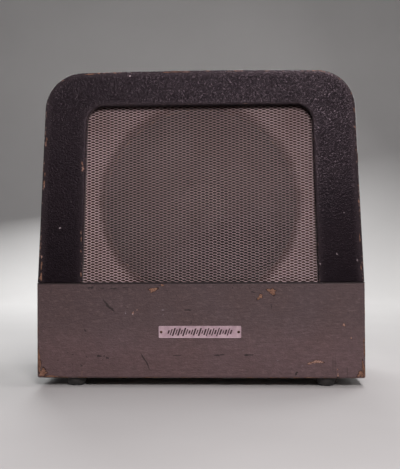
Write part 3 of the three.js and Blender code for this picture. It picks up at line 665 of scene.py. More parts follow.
def make(name, shape, mat, body="case", stands_for=(), sharp=38, attrs=None,
         ride=True):
    """A mesh piece in place of the CAD pieces in stands_for, moving with a body."""
    points, faces = shape
    mesh = bpy.data.meshes.new(name)
    mesh.from_pydata([tuple(c * MM for c in p) for p in points], [], faces)
    mesh.validate()
    mesh.update()
    bm = bmesh.new()
    bm.from_mesh(mesh)
    bmesh.ops.recalc_face_normals(bm, faces=bm.faces)
    bm.to_mesh(mesh)
    bm.free()
    for key, values in (attrs or {}).items():
        attribute = mesh.attributes.new(key, "FLOAT", "POINT")
        attribute.data.foreach_set("value", np.array(values, np.float32))
    shade(mesh, sharp)
    ob = bpy.data.objects.new(name, mesh)
    scene.collection.objects.link(ob)
    mesh.materials.append(mat)
    if stands_for:
        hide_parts(*stands_for)
    if ride:
        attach(ob, body)
    return ob


def tube_faces(rows, cols):
    """Faces of a tube of rows, each a closed ring of cols points, with both ends capped."""
    faces = []
    for i in range(rows - 1):
        for j in range(cols):
            a, b = i * cols + j, i * cols + (j + 1) % cols
            faces.append((a, b, b + cols, a + cols))
    return faces + [tuple(range(cols)), tuple(range((rows - 1) * cols, rows * cols))[::-1]]


def lathe(profile, place, segs=48):
    """Revolves (radius, along) points; place(u, along, w) gives the point in the row frame.

    A profile that ends where it starts, off the axis, closes on itself.
    """
    points, faces, rings = [], [], []
    for r, a in profile:
        if r < 1e-6:
            rings.append([len(points)])
            points.append(place(0, a, 0))
        else:
            rings.append(list(range(len(points), len(points) + segs)))
            for k in range(segs):
                turn = 2 * math.pi * k / segs
                points.append(place(r * math.cos(turn), a, r * math.sin(turn)))
    if profile[0] == profile[-1] and profile[0][0] > 1e-6:
        del points[-segs:]
        rings[-1] = rings[0]
    for p, q in zip(rings, rings[1:]):
        if len(p) == 1 and len(q) == 1:
            continue
        for k in range(segs):
            k2 = (k + 1) % segs
            if len(p) == 1:
                faces.append((p[0], q[k], q[k2]))
            elif len(q) == 1:
                faces.append((p[k], q[0], p[k2]))
            else:
                faces.append((p[k], q[k], q[k2], p[k2]))
    return points, faces


def along_y(x, y, z):
    """A place for lathe with its axis along +Y from the point."""
    return lambda u, a, w: (x + u, y + a, z + w)


def along_z(x, y, z):
    """A place for lathe with its axis along +Z from the point."""
    return lambda u, a, w: (x + u, y + w, z + a)


def shell(profile, thickness):
    """Closes an open profile by an offset copy along the axis."""
    return profile + [(r, a + thickness) for r, a in profile[::-1]] + [profile[0]]


def fillet(points, radius, steps=3):
    """Rounds the corners of an open profile."""
    out = [points[0]]
    for before, corner, after in zip(points, points[1:], points[2:]):
        corner = Vector(corner)
        back, ahead = Vector(before) - corner, Vector(after) - corner
        cut = min(radius, back.length * 0.45, ahead.length * 0.45)
        start, end = corner + back.normalized() * cut, corner + ahead.normalized() * cut
        for j in range(steps + 1):
            t = j / steps
            p = start * (1 - t) ** 2 + corner * 2 * t * (1 - t) + end * t ** 2
            out.append((p.x, p.y))
    return out + [points[-1]]


def sweep(path, section):
    """A closed section of (side, up) points carried along a path, with capped ends."""
    path = [Vector(p) for p in path]
    points = []
    for i, p in enumerate(path):
        tangent = (path[min(i + 1, len(path) - 1)] - path[max(i - 1, 0)]).normalized()
        side = tangent.cross(Vector((0, 0, 1)))
        side.normalize()
        up = side.cross(tangent).normalized()
        points += [tuple(p + side * s + up * q) for s, q in section]
    return points, tube_faces(len(path), len(section))


def circle(radius, count):
    turns = [2 * math.pi * i / count for i in range(count)]
    return [(radius * math.cos(t), radius * math.sin(t)) for t in turns]


def rounded_rectangle(half_width, half_height, radius, steps):
    """The corner arcs, as (arc centre x, arc centre z, cos, sin) for each point."""
    out = []
    for sx, sz, start in ((1, 1, 0), (-1, 1, 90), (-1, -1, 180), (1, -1, 270)):
        for k in range(steps + 1):
            turn = math.radians(start + 90 * k / steps)
            out.append((sx * (half_width - radius), sz * (half_height - radius),
                        math.cos(turn), math.sin(turn)))
    return out


def catmull(points, per):
    """A smooth curve through the points, with per steps between neighbours."""
    knots = [Vector(p) for p in points]
    knots = [knots[0] * 2 - knots[1]] + knots + [knots[-1] * 2 - knots[-2]]
    out = []
    for a, b, c, d in zip(knots, knots[1:], knots[2:], knots[3:]):
        for k in range(per):
            t = k / per
            out.append(0.5 * ((2 * b) + (c - a) * t + (2 * a - 5 * b + 4 * c - d) * t * t
                              + (3 * b - a - 3 * c + d) * t ** 3))
    out.append(knots[-2])
    return [tuple(p) for p in out]


def merge(shapes):
    points, faces = [], []
    for shape_points, shape_faces in shapes:
        offset = len(points)
        points += shape_points
        faces += [tuple(i + offset for i in face) for face in shape_faces]
    return points, faces


# ------------------------------------------------------------------ front outlines
# Both run from the seam on the right, over the top, to the seam on the left, with the
# same number of points: (x, height, normal x, normal height).
SIDE_STEPS, CORNER_STEPS, TOP_STEPS = 40, 30, 26


def corner_arc(x, z, radius, start, facing):
    turns = [start + (math.pi / 2 - start) * i / CORNER_STEPS for i in range(CORNER_STEPS)]
    return [(x + radius * math.cos(t), z + radius * math.sin(t),
             facing * math.cos(t), facing * math.sin(t)) for t in turns]


def mirrored(half):
    """Adds the left half to a right half that ends on the centre line."""
    return half + [(-x, z, -nx, nz) for x, z, nx, nz in half[-2::-1]]


def case_outline():
    """Outer outline of the upper case; heights are z, normals point outwards."""
    corner_z = TOP - CROWN - CORNER_R

    def side(z):
        return HALF_SEAM - (z - SEAM) * math.tan(TAPER)

    corner_x = side(corner_z) - CORNER_R / math.cos(TAPER)
    side_top = corner_z + CORNER_R * math.sin(TAPER)
    half = []
    for i in range(SIDE_STEPS):
        z = SEAM + (side_top - SEAM) * i / SIDE_STEPS
        half.append((side(z), z, math.cos(TAPER), math.sin(TAPER)))
    half += corner_arc(corner_x, corner_z, CORNER_R, TAPER, facing=1)
    for i in range(TOP_STEPS + 1):
        x = corner_x * (1 - i / TOP_STEPS)
        z = corner_z + CORNER_R + CROWN * (1 - (x / corner_x) ** 2)
        slope = 2 * CROWN * x / corner_x ** 2
        length = math.hypot(1, slope)
        half.append((x, z, slope / length, 1 / length))
    return mirrored(half)


def grille_opening():
    """Grille opening; heights run up the slope, normals point into the opening."""
    tilt = math.atan(OPEN_SLOPE)
    corner_rise = OPEN_TOP - OPEN_R
    corner_x = OPEN_SEAM - corner_rise * OPEN_SLOPE - OPEN_R / math.cos(tilt)
    side_top = corner_rise + OPEN_R * math.sin(tilt)
    half = []
    for i in range(SIDE_STEPS):
        rise = side_top * i / SIDE_STEPS
        half.append((OPEN_SEAM - rise * OPEN_SLOPE, rise, -math.cos(tilt), -math.sin(tilt)))
    half += corner_arc(corner_x, corner_rise, OPEN_R, tilt, facing=-1)
    half += [(corner_x * (1 - i / TOP_STEPS), OPEN_TOP, 0, -1) for i in range(TOP_STEPS + 1)]
    return mirrored(half)


# ------------------------------------------------------------------ case
def build_front_frame():
    """The leaning board round the grille: its section carried round both outlines."""
    outer_r, inner_r = 4.6, 2.2
    face, back = STEP, STEP + BOARD
    # share of the way across the front face, wear
    flats = [(0.06, 0.42), (0.14, 0.08), (0.26, 0.08), (0.4, 0.08), (0.55, 0.08), (0.7, 0.08),
             (0.84, 0.08), (0.94, 0.3)]
    points, wear = [], []
    outlines = list(zip(case_outline(), grille_opening()))
    for (x, z, nx, nz), (ix, inner_rise, mx, mv) in outlines:
        rise = max(SEAM_GAP, (z - SEAM) / LEAN_COS)
        inner_rise = max(SEAM_GAP, inner_rise)
        # section points: x, rise, depth, wear
        section = [(x, rise, back, 0.1), (x, rise, face + outer_r + 3, 0.35)]
        for k in range(9):
            turn = k / 8 * math.pi / 2
            inset = outer_r * (1 - math.cos(turn))
            section.append((x - nx * inset, rise - nz * inset,
                            face + outer_r * (1 - math.sin(turn)), 1.0 if 1 < k < 7 else 0.75))
        ax, av = x - nx * outer_r, rise - nz * outer_r
        bx, bv = ix - mx * inner_r, inner_rise - mv * inner_r
        for share, w in flats:
            section.append((ax + (bx - ax) * share, av + (bv - av) * share, face, w))
        for k in range(7):
            turn = k / 6 * math.pi / 2
            reach = inner_r * math.sin(turn)
            section.append((bx + mx * reach, bv + mv * reach,
                            face + inner_r * (1 - math.cos(turn)), 0.9 if 1 < k < 5 else 0.6))
        section.append((ix, inner_rise, face + inner_r + 3, 0.15))
        section.append((ix, inner_rise, back, 0.05))
        for sx, sv, depth, w in section:
            points.append(lean(sx, depth, max(SEAM_GAP, sv)))
            wear.append(w)
    return make("front_frame_board", (points, tube_faces(len(outlines), len(section))), DARK,
                stands_for=["front_frame"], attrs={"wear": wear}, sharp=40)


def build_wall():
    """The bent wall: both sides and the top in one sheet."""
    rear_r, inner_rear_r = 1.8, 1.2
    steps = 14
    lower = [(HALF_BASE, BOTTOM + 0.1, 1, 0)]
    for k in range(1, steps):
        lower.append((HALF_BASE + (HALF_SEAM - HALF_BASE) * k / steps,
                      BOTTOM + (SEAM - BOTTOM) * k / steps, 1.0, 0.0))
    outline = lower + case_outline() + [(-x, z, -nx, nz) for x, z, nx, nz in lower[::-1]]

    def front_edge(z, upper):
        if upper:
            return FRONT + (STEP + BOARD + WALL_GAP) / LEAN_COS + (z - SEAM) * math.tan(LEAN)
        return FRONT + BOARD + WALL_GAP

    # share of the way from the front edge to the rear rounding, wear
    flats = ((0.012, 0.18), (0.05, 0.08), (0.2, 0.04), (0.4, 0.04), (0.6, 0.04), (0.8, 0.05),
             (0.94, 0.12))
    points, wear = [], []
    for x, z, nx, nz in outline:
        upper = z >= SEAM
        front_y = front_edge(z, upper)
        # section points: depth into the wall, y, wear
        section = [(0.0, front_y, 0.2)]
        for share, w in flats:
            section.append((0.0, front_y + (BACK - rear_r - front_y) * share, w))
        for k in range(5):
            turn = k / 4 * math.pi / 2
            section.append((rear_r * (1 - math.cos(turn)),
                            BACK - rear_r * (1 - math.sin(turn)), 0.95))
        section.append((WALL / 2, BACK, 0.55))
        for k in range(4):
            turn = k / 3 * math.pi / 2
            section.append((WALL - inner_rear_r * (1 - math.sin(turn)),
                            BACK - inner_rear_r * (1 - math.cos(turn)), 0.8))
        section.append((WALL, BACK - 9.2, 0.1))
        section.append((WALL, front_edge(z - nz * WALL, upper), 0.0))
        foot_wear = 0.8 if z < BOTTOM + 1 else 0.0
        for depth, y, w in section:
            points.append((x - nx * depth, y, z - nz * depth))
            wear.append(max(w, foot_wear))
    return make("bent_case_wall", (points, tube_faces(len(outline), len(section))), CASE,
                stands_for=["case_wrap"], attrs={"wear": wear}, sharp=40)


def build_panel():
    """The lower front board, rounded round its face and along its lower side edges."""
    bm = bmesh.new()
    bmesh.ops.create_cube(bm, size=1)
    low = Vector((-HALF_BASE, FRONT, BOTTOM))
    high = Vector((HALF_BASE, FRONT + BOARD, SEAM - SEAM_GAP))
    for v in bm.verts:
        v.co = Vector([low[i] + (v.co[i] + 0.5) * (high[i] - low[i]) for i in range(3)])
        if v.co.z > SEAM - 5:
            v.co.x = math.copysign(HALF_SEAM, v.co.x)

    def on_face(v):
        return abs(v.co.y - FRONT) < 0.01

    def on_foot(v):
        return abs(v.co.z - BOTTOM) < 0.01 and abs(abs(v.co.x) - HALF_BASE) < 0.01

    rounded = [e for e in bm.edges if all(map(on_face, e.verts)) or all(map(on_foot, e.verts))]
    bmesh.ops.bevel(bm, geom=rounded, offset=3.4, segments=5, profile=0.5, affect="EDGES")
    bmesh.ops.triangulate(bm, faces=[f for f in bm.faces if len(f.verts) > 4])
    shape = [tuple(v.co) for v in bm.verts], [tuple(v.index for v in f.verts) for f in bm.faces]
    bm.free()
    return make("lower_front_board", shape, GREY,
                stands_for=["lower_front_panel"], sharp=30)


front = build_front_frame()
wall = build_wall()
panel = build_panel()


# ------------------------------------------------------------------ expanded metal
def build_grille():
    """Diamond mesh of twisted strands, each a three-sided bar between two joints."""
    pitch_x, pitch_rise = 10.83, 3.872
    width, thickness = 0.74, 0.55
    tilt = math.radians(13)
    phase_x = 0.35 * pitch_x + 0.9
    half_depth, half_rise = width * math.sin(tilt) / 2, width * math.cos(tilt) / 2
    # share along the strand, share of the rise: strands leave and meet the joints flat
    stations = [(0.0, 0.0), (0.3, 0.07), (0.76, 0.9), (1.0, 1.0)]
    start_rise, end_rise, half_width = -5.0, 257.5, 173.5
    points, faces = [], []
    for row in range(int(math.ceil(262 / (pitch_rise / 2)))):
        v0 = start_rise + row * pitch_rise / 2
        offset = (pitch_x / 2 if row % 2 else 0.0) + phase_x
        first = int(math.floor((-173 - offset) / pitch_x))
        for i in range(first, first + 34):
            x0 = offset + i * pitch_x
            for side in (-1, 1):
                x1, v1 = x0 + side * pitch_x / 2, v0 + pitch_rise / 2
                if max(abs(x0), abs(x1)) > half_width or v1 > end_rise:
                    continue
                base = len(points)
                for share, rise_share in stations:
                    x, v = x0 + (x1 - x0) * share, v0 + (v1 - v0) * rise_share
                    # strands narrow a little between their joints
                    narrow = 1.0 - 0.12 * math.sin(math.pi * share)
                    # the sheet bows slightly backwards in the middle
                    bow = 0.5 * math.cos(x / 120) * math.cos((v - 120) / 110)
                    depth = GRILLE_DEPTH + bow
                    dn, dv = half_depth * narrow, half_rise * narrow
                    points.append(lean(x, depth - dn, v - dv))
                    points.append(lean(x, depth + dn, v + dv))
                    points.append(lean(x, depth + thickness * 0.9 - dn * 0.55,
                                       v - dv * 0.1 - thickness * 0.7))
                for r in range(3):
                    for c in range(3):
                        a, b = base + r * 3 + c, base + r * 3 + (c + 1) % 3
                        faces.append((a, b, b + 3, a + 3))
    make("expanded_metal_grille", (points, faces), GRILLE,
         stands_for=["grille_mesh"], sharp=45)


build_grille()


# ------------------------------------------------------------------ finishes of the CAD pieces
def finish_node(name, mat, bevel):
    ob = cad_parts[name]
    ob.data.materials.clear()
    ob.data.materials.append(mat)
    shade(ob.data, 40)
    if bevel:
        modifier = ob.modifiers.new("soft_edges", "BEVEL")
        modifier.width = bevel * MM
        modifier.segments = 2
        modifier.limit_method = "ANGLE"
        modifier.angle_limit = math.radians(50)


DARK_REAR_PAINTED_LIGHT = paint_dark("paint_dark_rear_painted_light", rear=True)
BAFFLE = baffle_stain()
# CAD piece: material, bevel width
CAD_FINISHES = {
    "bottom_board": (PLY_IN, 0.6), "baffle_board": (BAFFLE, 0.5), "rear_frame": (PLY_IN, 0.8),
    "rear_panel": (DARK_REAR_PAINTED_LIGHT, 0.6), "cable_flap": (DARK_REAR_PAINTED_LIGHT, 0.7),
    "hinge_fixed_leaf": (BRASS, 0.15), "hinge_moving_leaf": (BRASS, 0.15),
    "hinge_pin": (STEEL, 0), "catch_strike": (BRASS, 0.1), "catch_barrel": (BRASS, 0.2),
    "handle_base_plate": (PLATED, 0.25), "speaker_basket": (ENAMEL, 0.3),
    "speaker_gasket": (CORK, 0), "magnet_front_plate": (STEEL, 0.4), "magnet_ring": (ALNICO, 0),
    "pole_yoke": (STEEL, 0.4), "terminal_board": (LAMINATE, 0.2), "cable_post_left": (PLY, 0),
    "cable_post_right": (PLY, 0), "voice_coil_former": (TAN_PAPER, 0),
    "voice_coil_winding": (COPPER, 0),
}
for name, (mat, bevel) in CAD_FINISHES.items():
    finish_node(name, mat, bevel)


# ------------------------------------------------------------------ nameplate
def build_nameplate():
    """A pinned plate with a rolled rim, a slightly sunken field and slanted ticks."""
    width, height, centre_z = 115.0, 16.8, BOTTOM + 64.6
    corner_r = 1.6
    corners = rounded_rectangle(width / 2, height / 2, corner_r, steps=5)
    # inset from the outline, distance from the front board; back edge to field
    rings = [(0.0, -0.1), (0.0, -0.75), (0.12, -0.87), (0.35, -0.9), (0.8, -0.9),
             (1.0, -0.82), (1.2, -0.8)]
    points = [(cx + c * (corner_r - inset), FRONT + y, centre_z + cz + s * (corner_r - inset))
              for inset, y in rings for cx, cz, c, s in corners]
    make("badge_plate", (points, tube_faces(len(rings), len(corners))), badge_metal(),
         stands_for=["nameplate"], sharp=30)

    ink = plain("badge_ink", srgb(44, 10, 18), rough=0.5)
    heights = [4.6, 8.4, 11.0, 7.0, 10.0, 6.0, 11.6, 7.6, 4.4, 6.8, 9.8, 5.8, 10.8]
    first_x, tick_pitch, ticks, slant = -43.5, 3.62, 25, 0.34
    box = [(3, 2, 1, 0), (4, 5, 6, 7), (0, 1, 5, 4), (1, 2, 6, 5), (2, 3, 7, 6), (3, 0, 4, 7)]
    shapes = []
    for i in range(ticks):
        x = first_x + tick_pitch * i
        h = heights[i % len(heights)] / 2
        w = 0.85 if i % 2 else 1.2
        outline = [(-w, -h), (w, -h), (w, h), (-w, h)]
        shapes.append(([(x + a + b * slant, FRONT + y, centre_z + b)
                        for y in (-0.79, -0.93) for a, b in outline], box))
    make("badge_ticks", merge(shapes), ink, sharp=30)

    pin = [(0, -2.15), (0.5, -2.1), (1.05, -1.95), (1.55, -1.6), (1.85, -1.2), (1.8, -1.0),
           (0.8, -0.98), (0.8, -0.25), (0, -0.2)]
    pin_metal = metal("aged_brass_pin", srgb(92, 70, 58), tarnish=srgb(36, 26, 24), rough=0.4,
                      brush=(1, 1, 1), amount=0.6)
    for side, s in (("left", -1), ("right", 1)):
        place = along_y(s * (width / 2 - 3.6), FRONT, centre_z)
        make("badge_pin_" + side, lathe(pin, place, 20), pin_metal,
             stands_for=["nameplate_pin_" + side])


build_nameplate()

# ------------------------------------------------------------------ screws with slotted heads
slot_turns = random.Random(7)


def slotted(name, profile, place, radius, mat, direction, body="case", node=None):
    """A turned screw with a slot across its head; the profile ends at the head's top."""
    ob = make(name, lathe(profile, place, 28), mat,
              stands_for=[node] if node else (), ride=False)
    angle = slot_turns.uniform(0, 3.1)
    out = Vector(direction).normalized()
    if abs(out.y) > 0.5:
        along = Vector((math.cos(angle), 0, math.sin(angle)))
    else:
        along = Vector((math.cos(angle), math.sin(angle), 0))
    across = out.cross(along)
    head = Vector(place(0, profile[-1][1], 0))
    # the cutter's length, width and depth follow the head's radius
    bm = bmesh.new()
    bmesh.ops.create_cube(bm, size=1)
    for v in bm.verts:
        length, width, depth = v.co.x * radius * 3, v.co.y * radius * 0.24, v.co.z * radius * 0.62
        v.co = (head + along * length + across * width + out * depth) * MM
    cutter_mesh = bpy.data.meshes.new("cutter")
    bm.to_mesh(cutter_mesh)
    bm.free()
    cutter = bpy.data.objects.new("cutter", cutter_mesh)
    scene.collection.objects.link(cutter)
    modifier = ob.modifiers.new("slot", "BOOLEAN")
    modifier.operation = "DIFFERENCE"
    modifier.object = cutter
    modifier.solver = "EXACT"
    bpy.context.view_layer.update()
    graph = bpy.context.evaluated_depsgraph_get()
    mesh = bpy.data.meshes.new_from_object(ob.evaluated_get(graph))
    ob.modifiers.clear()
    ob.data = mesh
    bpy.data.objects.remove(cutter)
    shade(mesh, 35)
    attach(ob, body)


def build_screws():
    # profiles: radius, distance along the screw
    rear = [(0, -22), (1.6, -19), (1.6, 0.3), (4.0, 0.3), (3.9, 0.9), (3.2, 1.7), (2.0, 2.25),
            (0, 2.5)]
    rear_places = [(-211, 60), (211, 60), (-208, 235), (208, 235), (-140, 427), (140, 427)]
    for i, (x, z) in enumerate(rear_places, 1):
        slotted(f"rear_screw_look_{i}", rear, along_y(x, REAR_OUT, z), 4.0, PLATED,
                (0, 1, 0), node=f"rear_panel_screw_{i}")

    # distances are depths behind the leaning front
    mount = [(0, 20), (1.6, 22.5), (1.6, 34.7), (4.3, 34.7), (4.2, 35.3), (3.3, 36.4),
             (1.9, 37.0), (0, 37.2)]
    mount_offset = 103.2
    for i, (sx, sz) in enumerate(((1, 1), (-1, 1), (-1, -1), (1, -1)), 1):
        def place(u, a, w):
            return driver(sx * mount_offset + u, a, sz * mount_offset + w)
        slotted(f"driver_screw_look_{i}", mount, place, 4.2, PLATED,
                (0, LEAN_COS, -LEAN_SIN), node=f"speaker_screw_{i}")

    plate = [(0, -13), (1.6, -11), (1.6, 0.2), (3.6, 0.2), (3.4, 0.8), (2.4, 1.5), (0, 1.9)]
    for side, s in (("left", -1), ("right", 1)):
        slotted("handle_screw_look_" + side, plate, along_z(s * 58, HANDLE_Y, HANDLE_PLATE_TOP),
                3.6, STEEL, (0, 0, 1), node="handle_screw_" + side)

    hinge = [(0, 0.6), (2.2, 0.9), (2.6, 1.25), (2.0, 1.6), (0, 1.75)]
    for leaf, body, z in (("fixed", "case", HINGE_Z - 10.2), ("moving", "flap", HINGE_Z + 10.2)):
        for k, x in enumerate((-115, -58, 0, 58, 115), 1):
            slotted(f"hinge_screw_{leaf}_{k}", hinge, along_y(x, REAR_OUT, z), 2.6, BRASS,
                    (0, 1, 0), body=body)


build_screws()


# ------------------------------------------------------------------ feet, knob, ball, rivets
def build_turned_parts():
    foot = [(0, 2.2), (3.0, 2.2), (3.0, 0.2), (7, 0), (11.6, 2.2), (14.2, 6.4), (15, 10.5),
            (15, 12.7), (0, 12.7)]
    for end, y in (("front", -92), ("rear", 80)):
        for side, x in (("left", -177), ("right", 177)):
            make(f"glide_{end}_{side}", lathe(fillet(foot, 1.0), along_z(x, y, 0), 40), RUBBER,
                 stands_for=[f"foot_{end}_{side}"], sharp=50)

    knob = [(0, -8), (2, -8), (2, 0.3), (5, 0.3), (4.9, 0.9), (3.2, 1.8), (2.9, 3.2),
            (4.2, 4.4), (6.3, 5.2), (6.4, 6.4), (5.4, 7.5), (3.0, 8.0), (0, 8.15)]
    make("flap_knob_look", lathe(fillet(knob, 0.6), along_y(0, REAR_OUT, FLAP_TOP - 28), 40),
         BRASS, body="flap", stands_for=["flap_knob"], sharp=55)

    ball_r = 2.6
    ball = [(0, -ball_r)]
    for k in range(1, 16):
        turn = math.pi * k / 16
        ball.append((ball_r * math.sin(turn), -ball_r * math.cos(turn)))
    ball.append((0, ball_r))
    place = along_z(0, (REAR_IN + REAR_OUT) / 2, FLAP_TOP + 1 - ball_r)
    make("catch_ball_look", lathe(ball, place, 28), STEEL, body="ball",
         stands_for=["catch_ball"], sharp=None)

    # radius, distance from the centre plane
    rivet = [(0, 62.7), (2.4, 62.8), (3.6, 63.2), (4, 63.8), (4, 64.3), (2.5, 64.3),
             (2.5, 79.7), (4, 79.7), (4, 80.2), (3.6, 80.8), (2.4, 81.1), (0, 81.2)]
    for side, s in (("left", -1), ("right", 1)):
        def place(u, a, w):
            return (s * a, HANDLE_Y + u, HANDLE_Z + w)
        make("handle_rivet_" + side, lathe(rivet, place, 32), STEEL,
             stands_for=["handle_pin_" + side])


build_turned_parts()

# ------------------------------------------------------------------ handle
EYE_X = 72.0  # the strap's ends, from the centre
GRIP_Y = HANDLE_Y + 34.0  # the strap lies backwards from its pivots
GRIP_HALF, GRIP_RY, GRIP_RZ = 44, 9.5, 6.4


def build_strap():
    """A flat bent bar with an eye at each end."""
    half = [(EYE_X, HANDLE_Y + 3.5), (EYE_X, HANDLE_Y + 14), (EYE_X - 3, HANDLE_Y + 24),
            (EYE_X - 12, GRIP_Y - 2), (EYE_X - 24, GRIP_Y)]
    line = [(-x, y) for x, y in half] + [(0, GRIP_Y)] + half[::-1]
    path = catmull([(x, y, HANDLE_Z) for x, y in line], 6)
    corner_r = 0.9
    section = [(cx + corner_r * c, cz + corner_r * s)
               for cx, cz, c, s in rounded_rectangle(3.5, 2.0, corner_r, steps=3)]
    shapes = [sweep(path, section)]
    eye = [(2.85, -4.6), (5.0, -4.6), (5.6, -4.0), (5.6, 4.0), (5.0, 4.6), (2.85, 4.6),
           (2.85, -4.6)]
    for s in (-1, 1):
        def place(u, a, w):
            return (s * EYE_X + a, HANDLE_Y + u, HANDLE_Z + w)
        shapes.append(lathe(eye, place, 28))
    make("handle_strap_core", merge(shapes), PLATED, body="handle",
         stands_for=["handle_core"], sharp=50)


def build_grip():
    """Leather sleeve over the strap, thinner towards its ends and rounded off there."""
    rows, cols = 61, 36
    points = []
    for i in range(rows):
        x = -GRIP_HALF + 2 * GRIP_HALF * i / (rows - 1)
        end = abs(x) / GRIP_HALF
        close = max(0, (end - 0.93) / 0.07) ** 2
        ry = (GRIP_RY - 1.0 * end ** 2) * (1 - 0.55 * close)
        rz = (GRIP_RZ - 0.7 * end ** 2) * (1 - 0.5 * close)
        for k in range(cols):
            turn = 2 * math.pi * k / cols
            c, s = math.cos(turn), math.sin(turn)
            # flatter on the side of the hinge, with slight waves on the other
            z = rz * s * (1 - 0.25 * max(0.0, -c) ** 3)
            sag = 0.12 * math.sin(x * 0.55) * max(0, c)
            points.append((x, GRIP_Y + ry * c, HANDLE_Z + z + sag))
    make("leather_grip", (points, tube_faces(rows, cols)), LEATHER, body="handle",
         stands_for=["handle_grip"], sharp=50)


def build_stitching():
    """Two rows of stitches, above and below the grip's hinge side."""
    shapes = []
    for i in range(21):
        x = -37 + 74 * i / 20
        for top in (1, -1):
            turn = math.radians(180 - 38 * top)
            ry, rz = GRIP_RY - (x / GRIP_HALF) ** 2, GRIP_RZ - 0.7 * (x / GRIP_HALF) ** 2
            y = GRIP_Y + ry * math.cos(turn)
            z = HANDLE_Z + rz * math.sin(turn) * (1 - 0.25 * max(0, -math.cos(turn)) ** 3)
            # offsets of one stitch: x, y, away from the middle
            stitch = ((-1.2, 0.25, -0.05), (-0.7, -0.12, 0.22), (0.7, -0.12, 0.22),
                      (1.2, 0.25, -0.05))
            path = [(x + dx, y + dy, z + dz * top) for dx, dy, dz in stitch]
            shapes.append(sweep(path, circle(0.38, 6)))
    make("grip_stitching", merge(shapes), THREAD, body="handle", sharp=60)


build_strap()
build_grip()
build_stitching()


# ------------------------------------------------------------------ driver
# Profiles are (radius, depth behind the leaning front).
def radial_blend(ob, inner, outer):
    """Bakes the piece's placement into its mesh and works out a weight from the inner radius to the
    outer one; the weight is not used.
    """
    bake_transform(ob)
    points = np.array([v.co for v in ob.data.vertices]) / MM
    axis = np.array([0, LEAN_COS, -LEAN_SIN])
    offset = points - np.array(driver(0, 0, 0))
    radius = np.linalg.norm(offset - np.outer(offset @ axis, axis), axis=1)
    weight = np.clip((outer - radius) / (outer - inner), 0, 1)
    weight = weight * weight * (3 - 2 * weight)


def build_cone():
    stations = [(26.2, 90.0), (34, 85.2), (44, 78.8), (56, 71.3), (70, 63.6), (84, 56.5),
                (98, 49.6), (110, 43.6), (118, 39.6), (123, 37.0)]
    profile = []
    for (r0, y0), (r1, y1) in zip(stations, stations[1:]):
        for k in range(6):
            r, y = r0 + (r1 - r0) * k / 6, y0 + (y1 - y0) * k / 6
            # shallow moulded rings near the edge of the cone
            if 88 < r < 116:
                y -= 0.35 * max(0.0, math.sin((r - 88) / 8.0 * 2 * math.pi))
            profile.append((r, y))
    profile.append(stations[-1])
    make("paper_cone", lathe(shell(profile, 1.0), driver, 96), PAPER, body="cone",
         stands_for=["speaker_cone"], sharp=60)


def build_surround():
    """Outer lip under the gasket, corrugations, then the lip glued to the cone's edge."""
    outer, inner, seat = 133.2, 123.3, 32.05
    profile = [(140.8, seat)]
    for k in range(41):
        t = k / 40
        ripple = math.sin(t * 3.5 * 2 * math.pi) * math.sin(math.pi * min(1, t * 1.1))
        profile.append((outer - (outer - inner) * t, max(seat, 32.2 + 4.0 * t + 0.95 * ripple)))
    profile += [(122.7, 36.66), (121.3, 37.4)]
    ob = make("corrugated_surround", lathe(shell(profile, 0.4), driver, 96), PAPER,
              stands_for=["cone_surround"], sharp=70, ride=False)
    radial_blend(ob, inner=123.6, outer=outer)


def build_spider():
    outer, inner = 59, 26.2
    profile = []
    for k in range(61):
        t = k / 60
        swell = math.sin(math.pi * min(1.0, t * 1.05 + 0.02)) ** 0.5
        ripple = math.sin(t * 5.5 * 2 * math.pi) * swell
        profile.append((outer - (outer - inner) * t, 101.2 - 0.9 * t + 1.1 * ripple))
    ob = make("corrugated_spider", lathe(shell(profile, 0.5), driver, 72), CLOTH,
              stands_for=["centring_spider"], sharp=70, ride=False)
    radial_blend(ob, inner=30.0, outer=56.0)


def build_dust_dome():
    dome = [(32.4 * k / 14, 73.7 + 10.9 * (k / 14) ** 2.1) for k in range(15)]
    lip = [(33.2, 84.85), (33.9, 85.08), (33.9, 85.18), (33.0, 85.65)]  # glued to the cone
    inside = [(r * 0.985, y + 0.75) for r, y in dome[:0:-1]] + [(0, 74.5)]
    make("dust_dome", lathe(dome + lip + inside, driver, 64), PAPER, body="cone",
         stands_for=["dust_cap"], sharp=60)


def build_magnet_can():
    profile = [(55.6, 107.5), (57, 107.5), (57, 147.5), (56.2, 150.8), (54, 153.2), (51, 154.4),
               (40, 154.6), (30, 154.2), (28, 153.7), (0, 153.6), (0, 152.9), (27, 152.9),
               (51, 153.0), (54.2, 151.2), (55.6, 147.4), (55.6, 107.5)]
    make("magnet_can", lathe(profile, driver, 64), ENAMEL,
         stands_for=["magnet_cover"], sharp=50)


def build_leads():
    """Braided leads from the case up to the cone; alternate radii rib their section."""
    start, end = driver(0, 84, -100), driver(0, 75, -54)
    section = []
    for i, r in enumerate([0.85, 0.7] * 4):
        section.append((r * math.cos(2 * math.pi * i / 8), r * math.sin(2 * math.pi * i / 8)))
    # across, depth, up from the driver's centre
    stations = [(17.2, 86.8, -110), (20, 84, -100), (22, 80, -84), (20, 77.5, -66),
                (15, 74.9, -52)]
    for side, s in (("left", -1), ("right", 1)):
        path = [driver(*p) for p in catmull([(s * u, n, w) for u, n, w in stations], 6)]
        ob = make("braided_lead_" + side, sweep(path, section), BRAID,
                  stands_for=["tinsel_lead_" + side], sharp=60, ride=False)
        [c * MM for c in start]
        [c * MM for c in end]
        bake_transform(ob)


build_cone()
build_surround()
build_spider()
build_dust_dome()
build_magnet_can()
build_leads()

# ------------------------------------------------------------------ cable and plug
POST_X, POST_Y = 90.0, 28.0  # the cable is wound round two posts


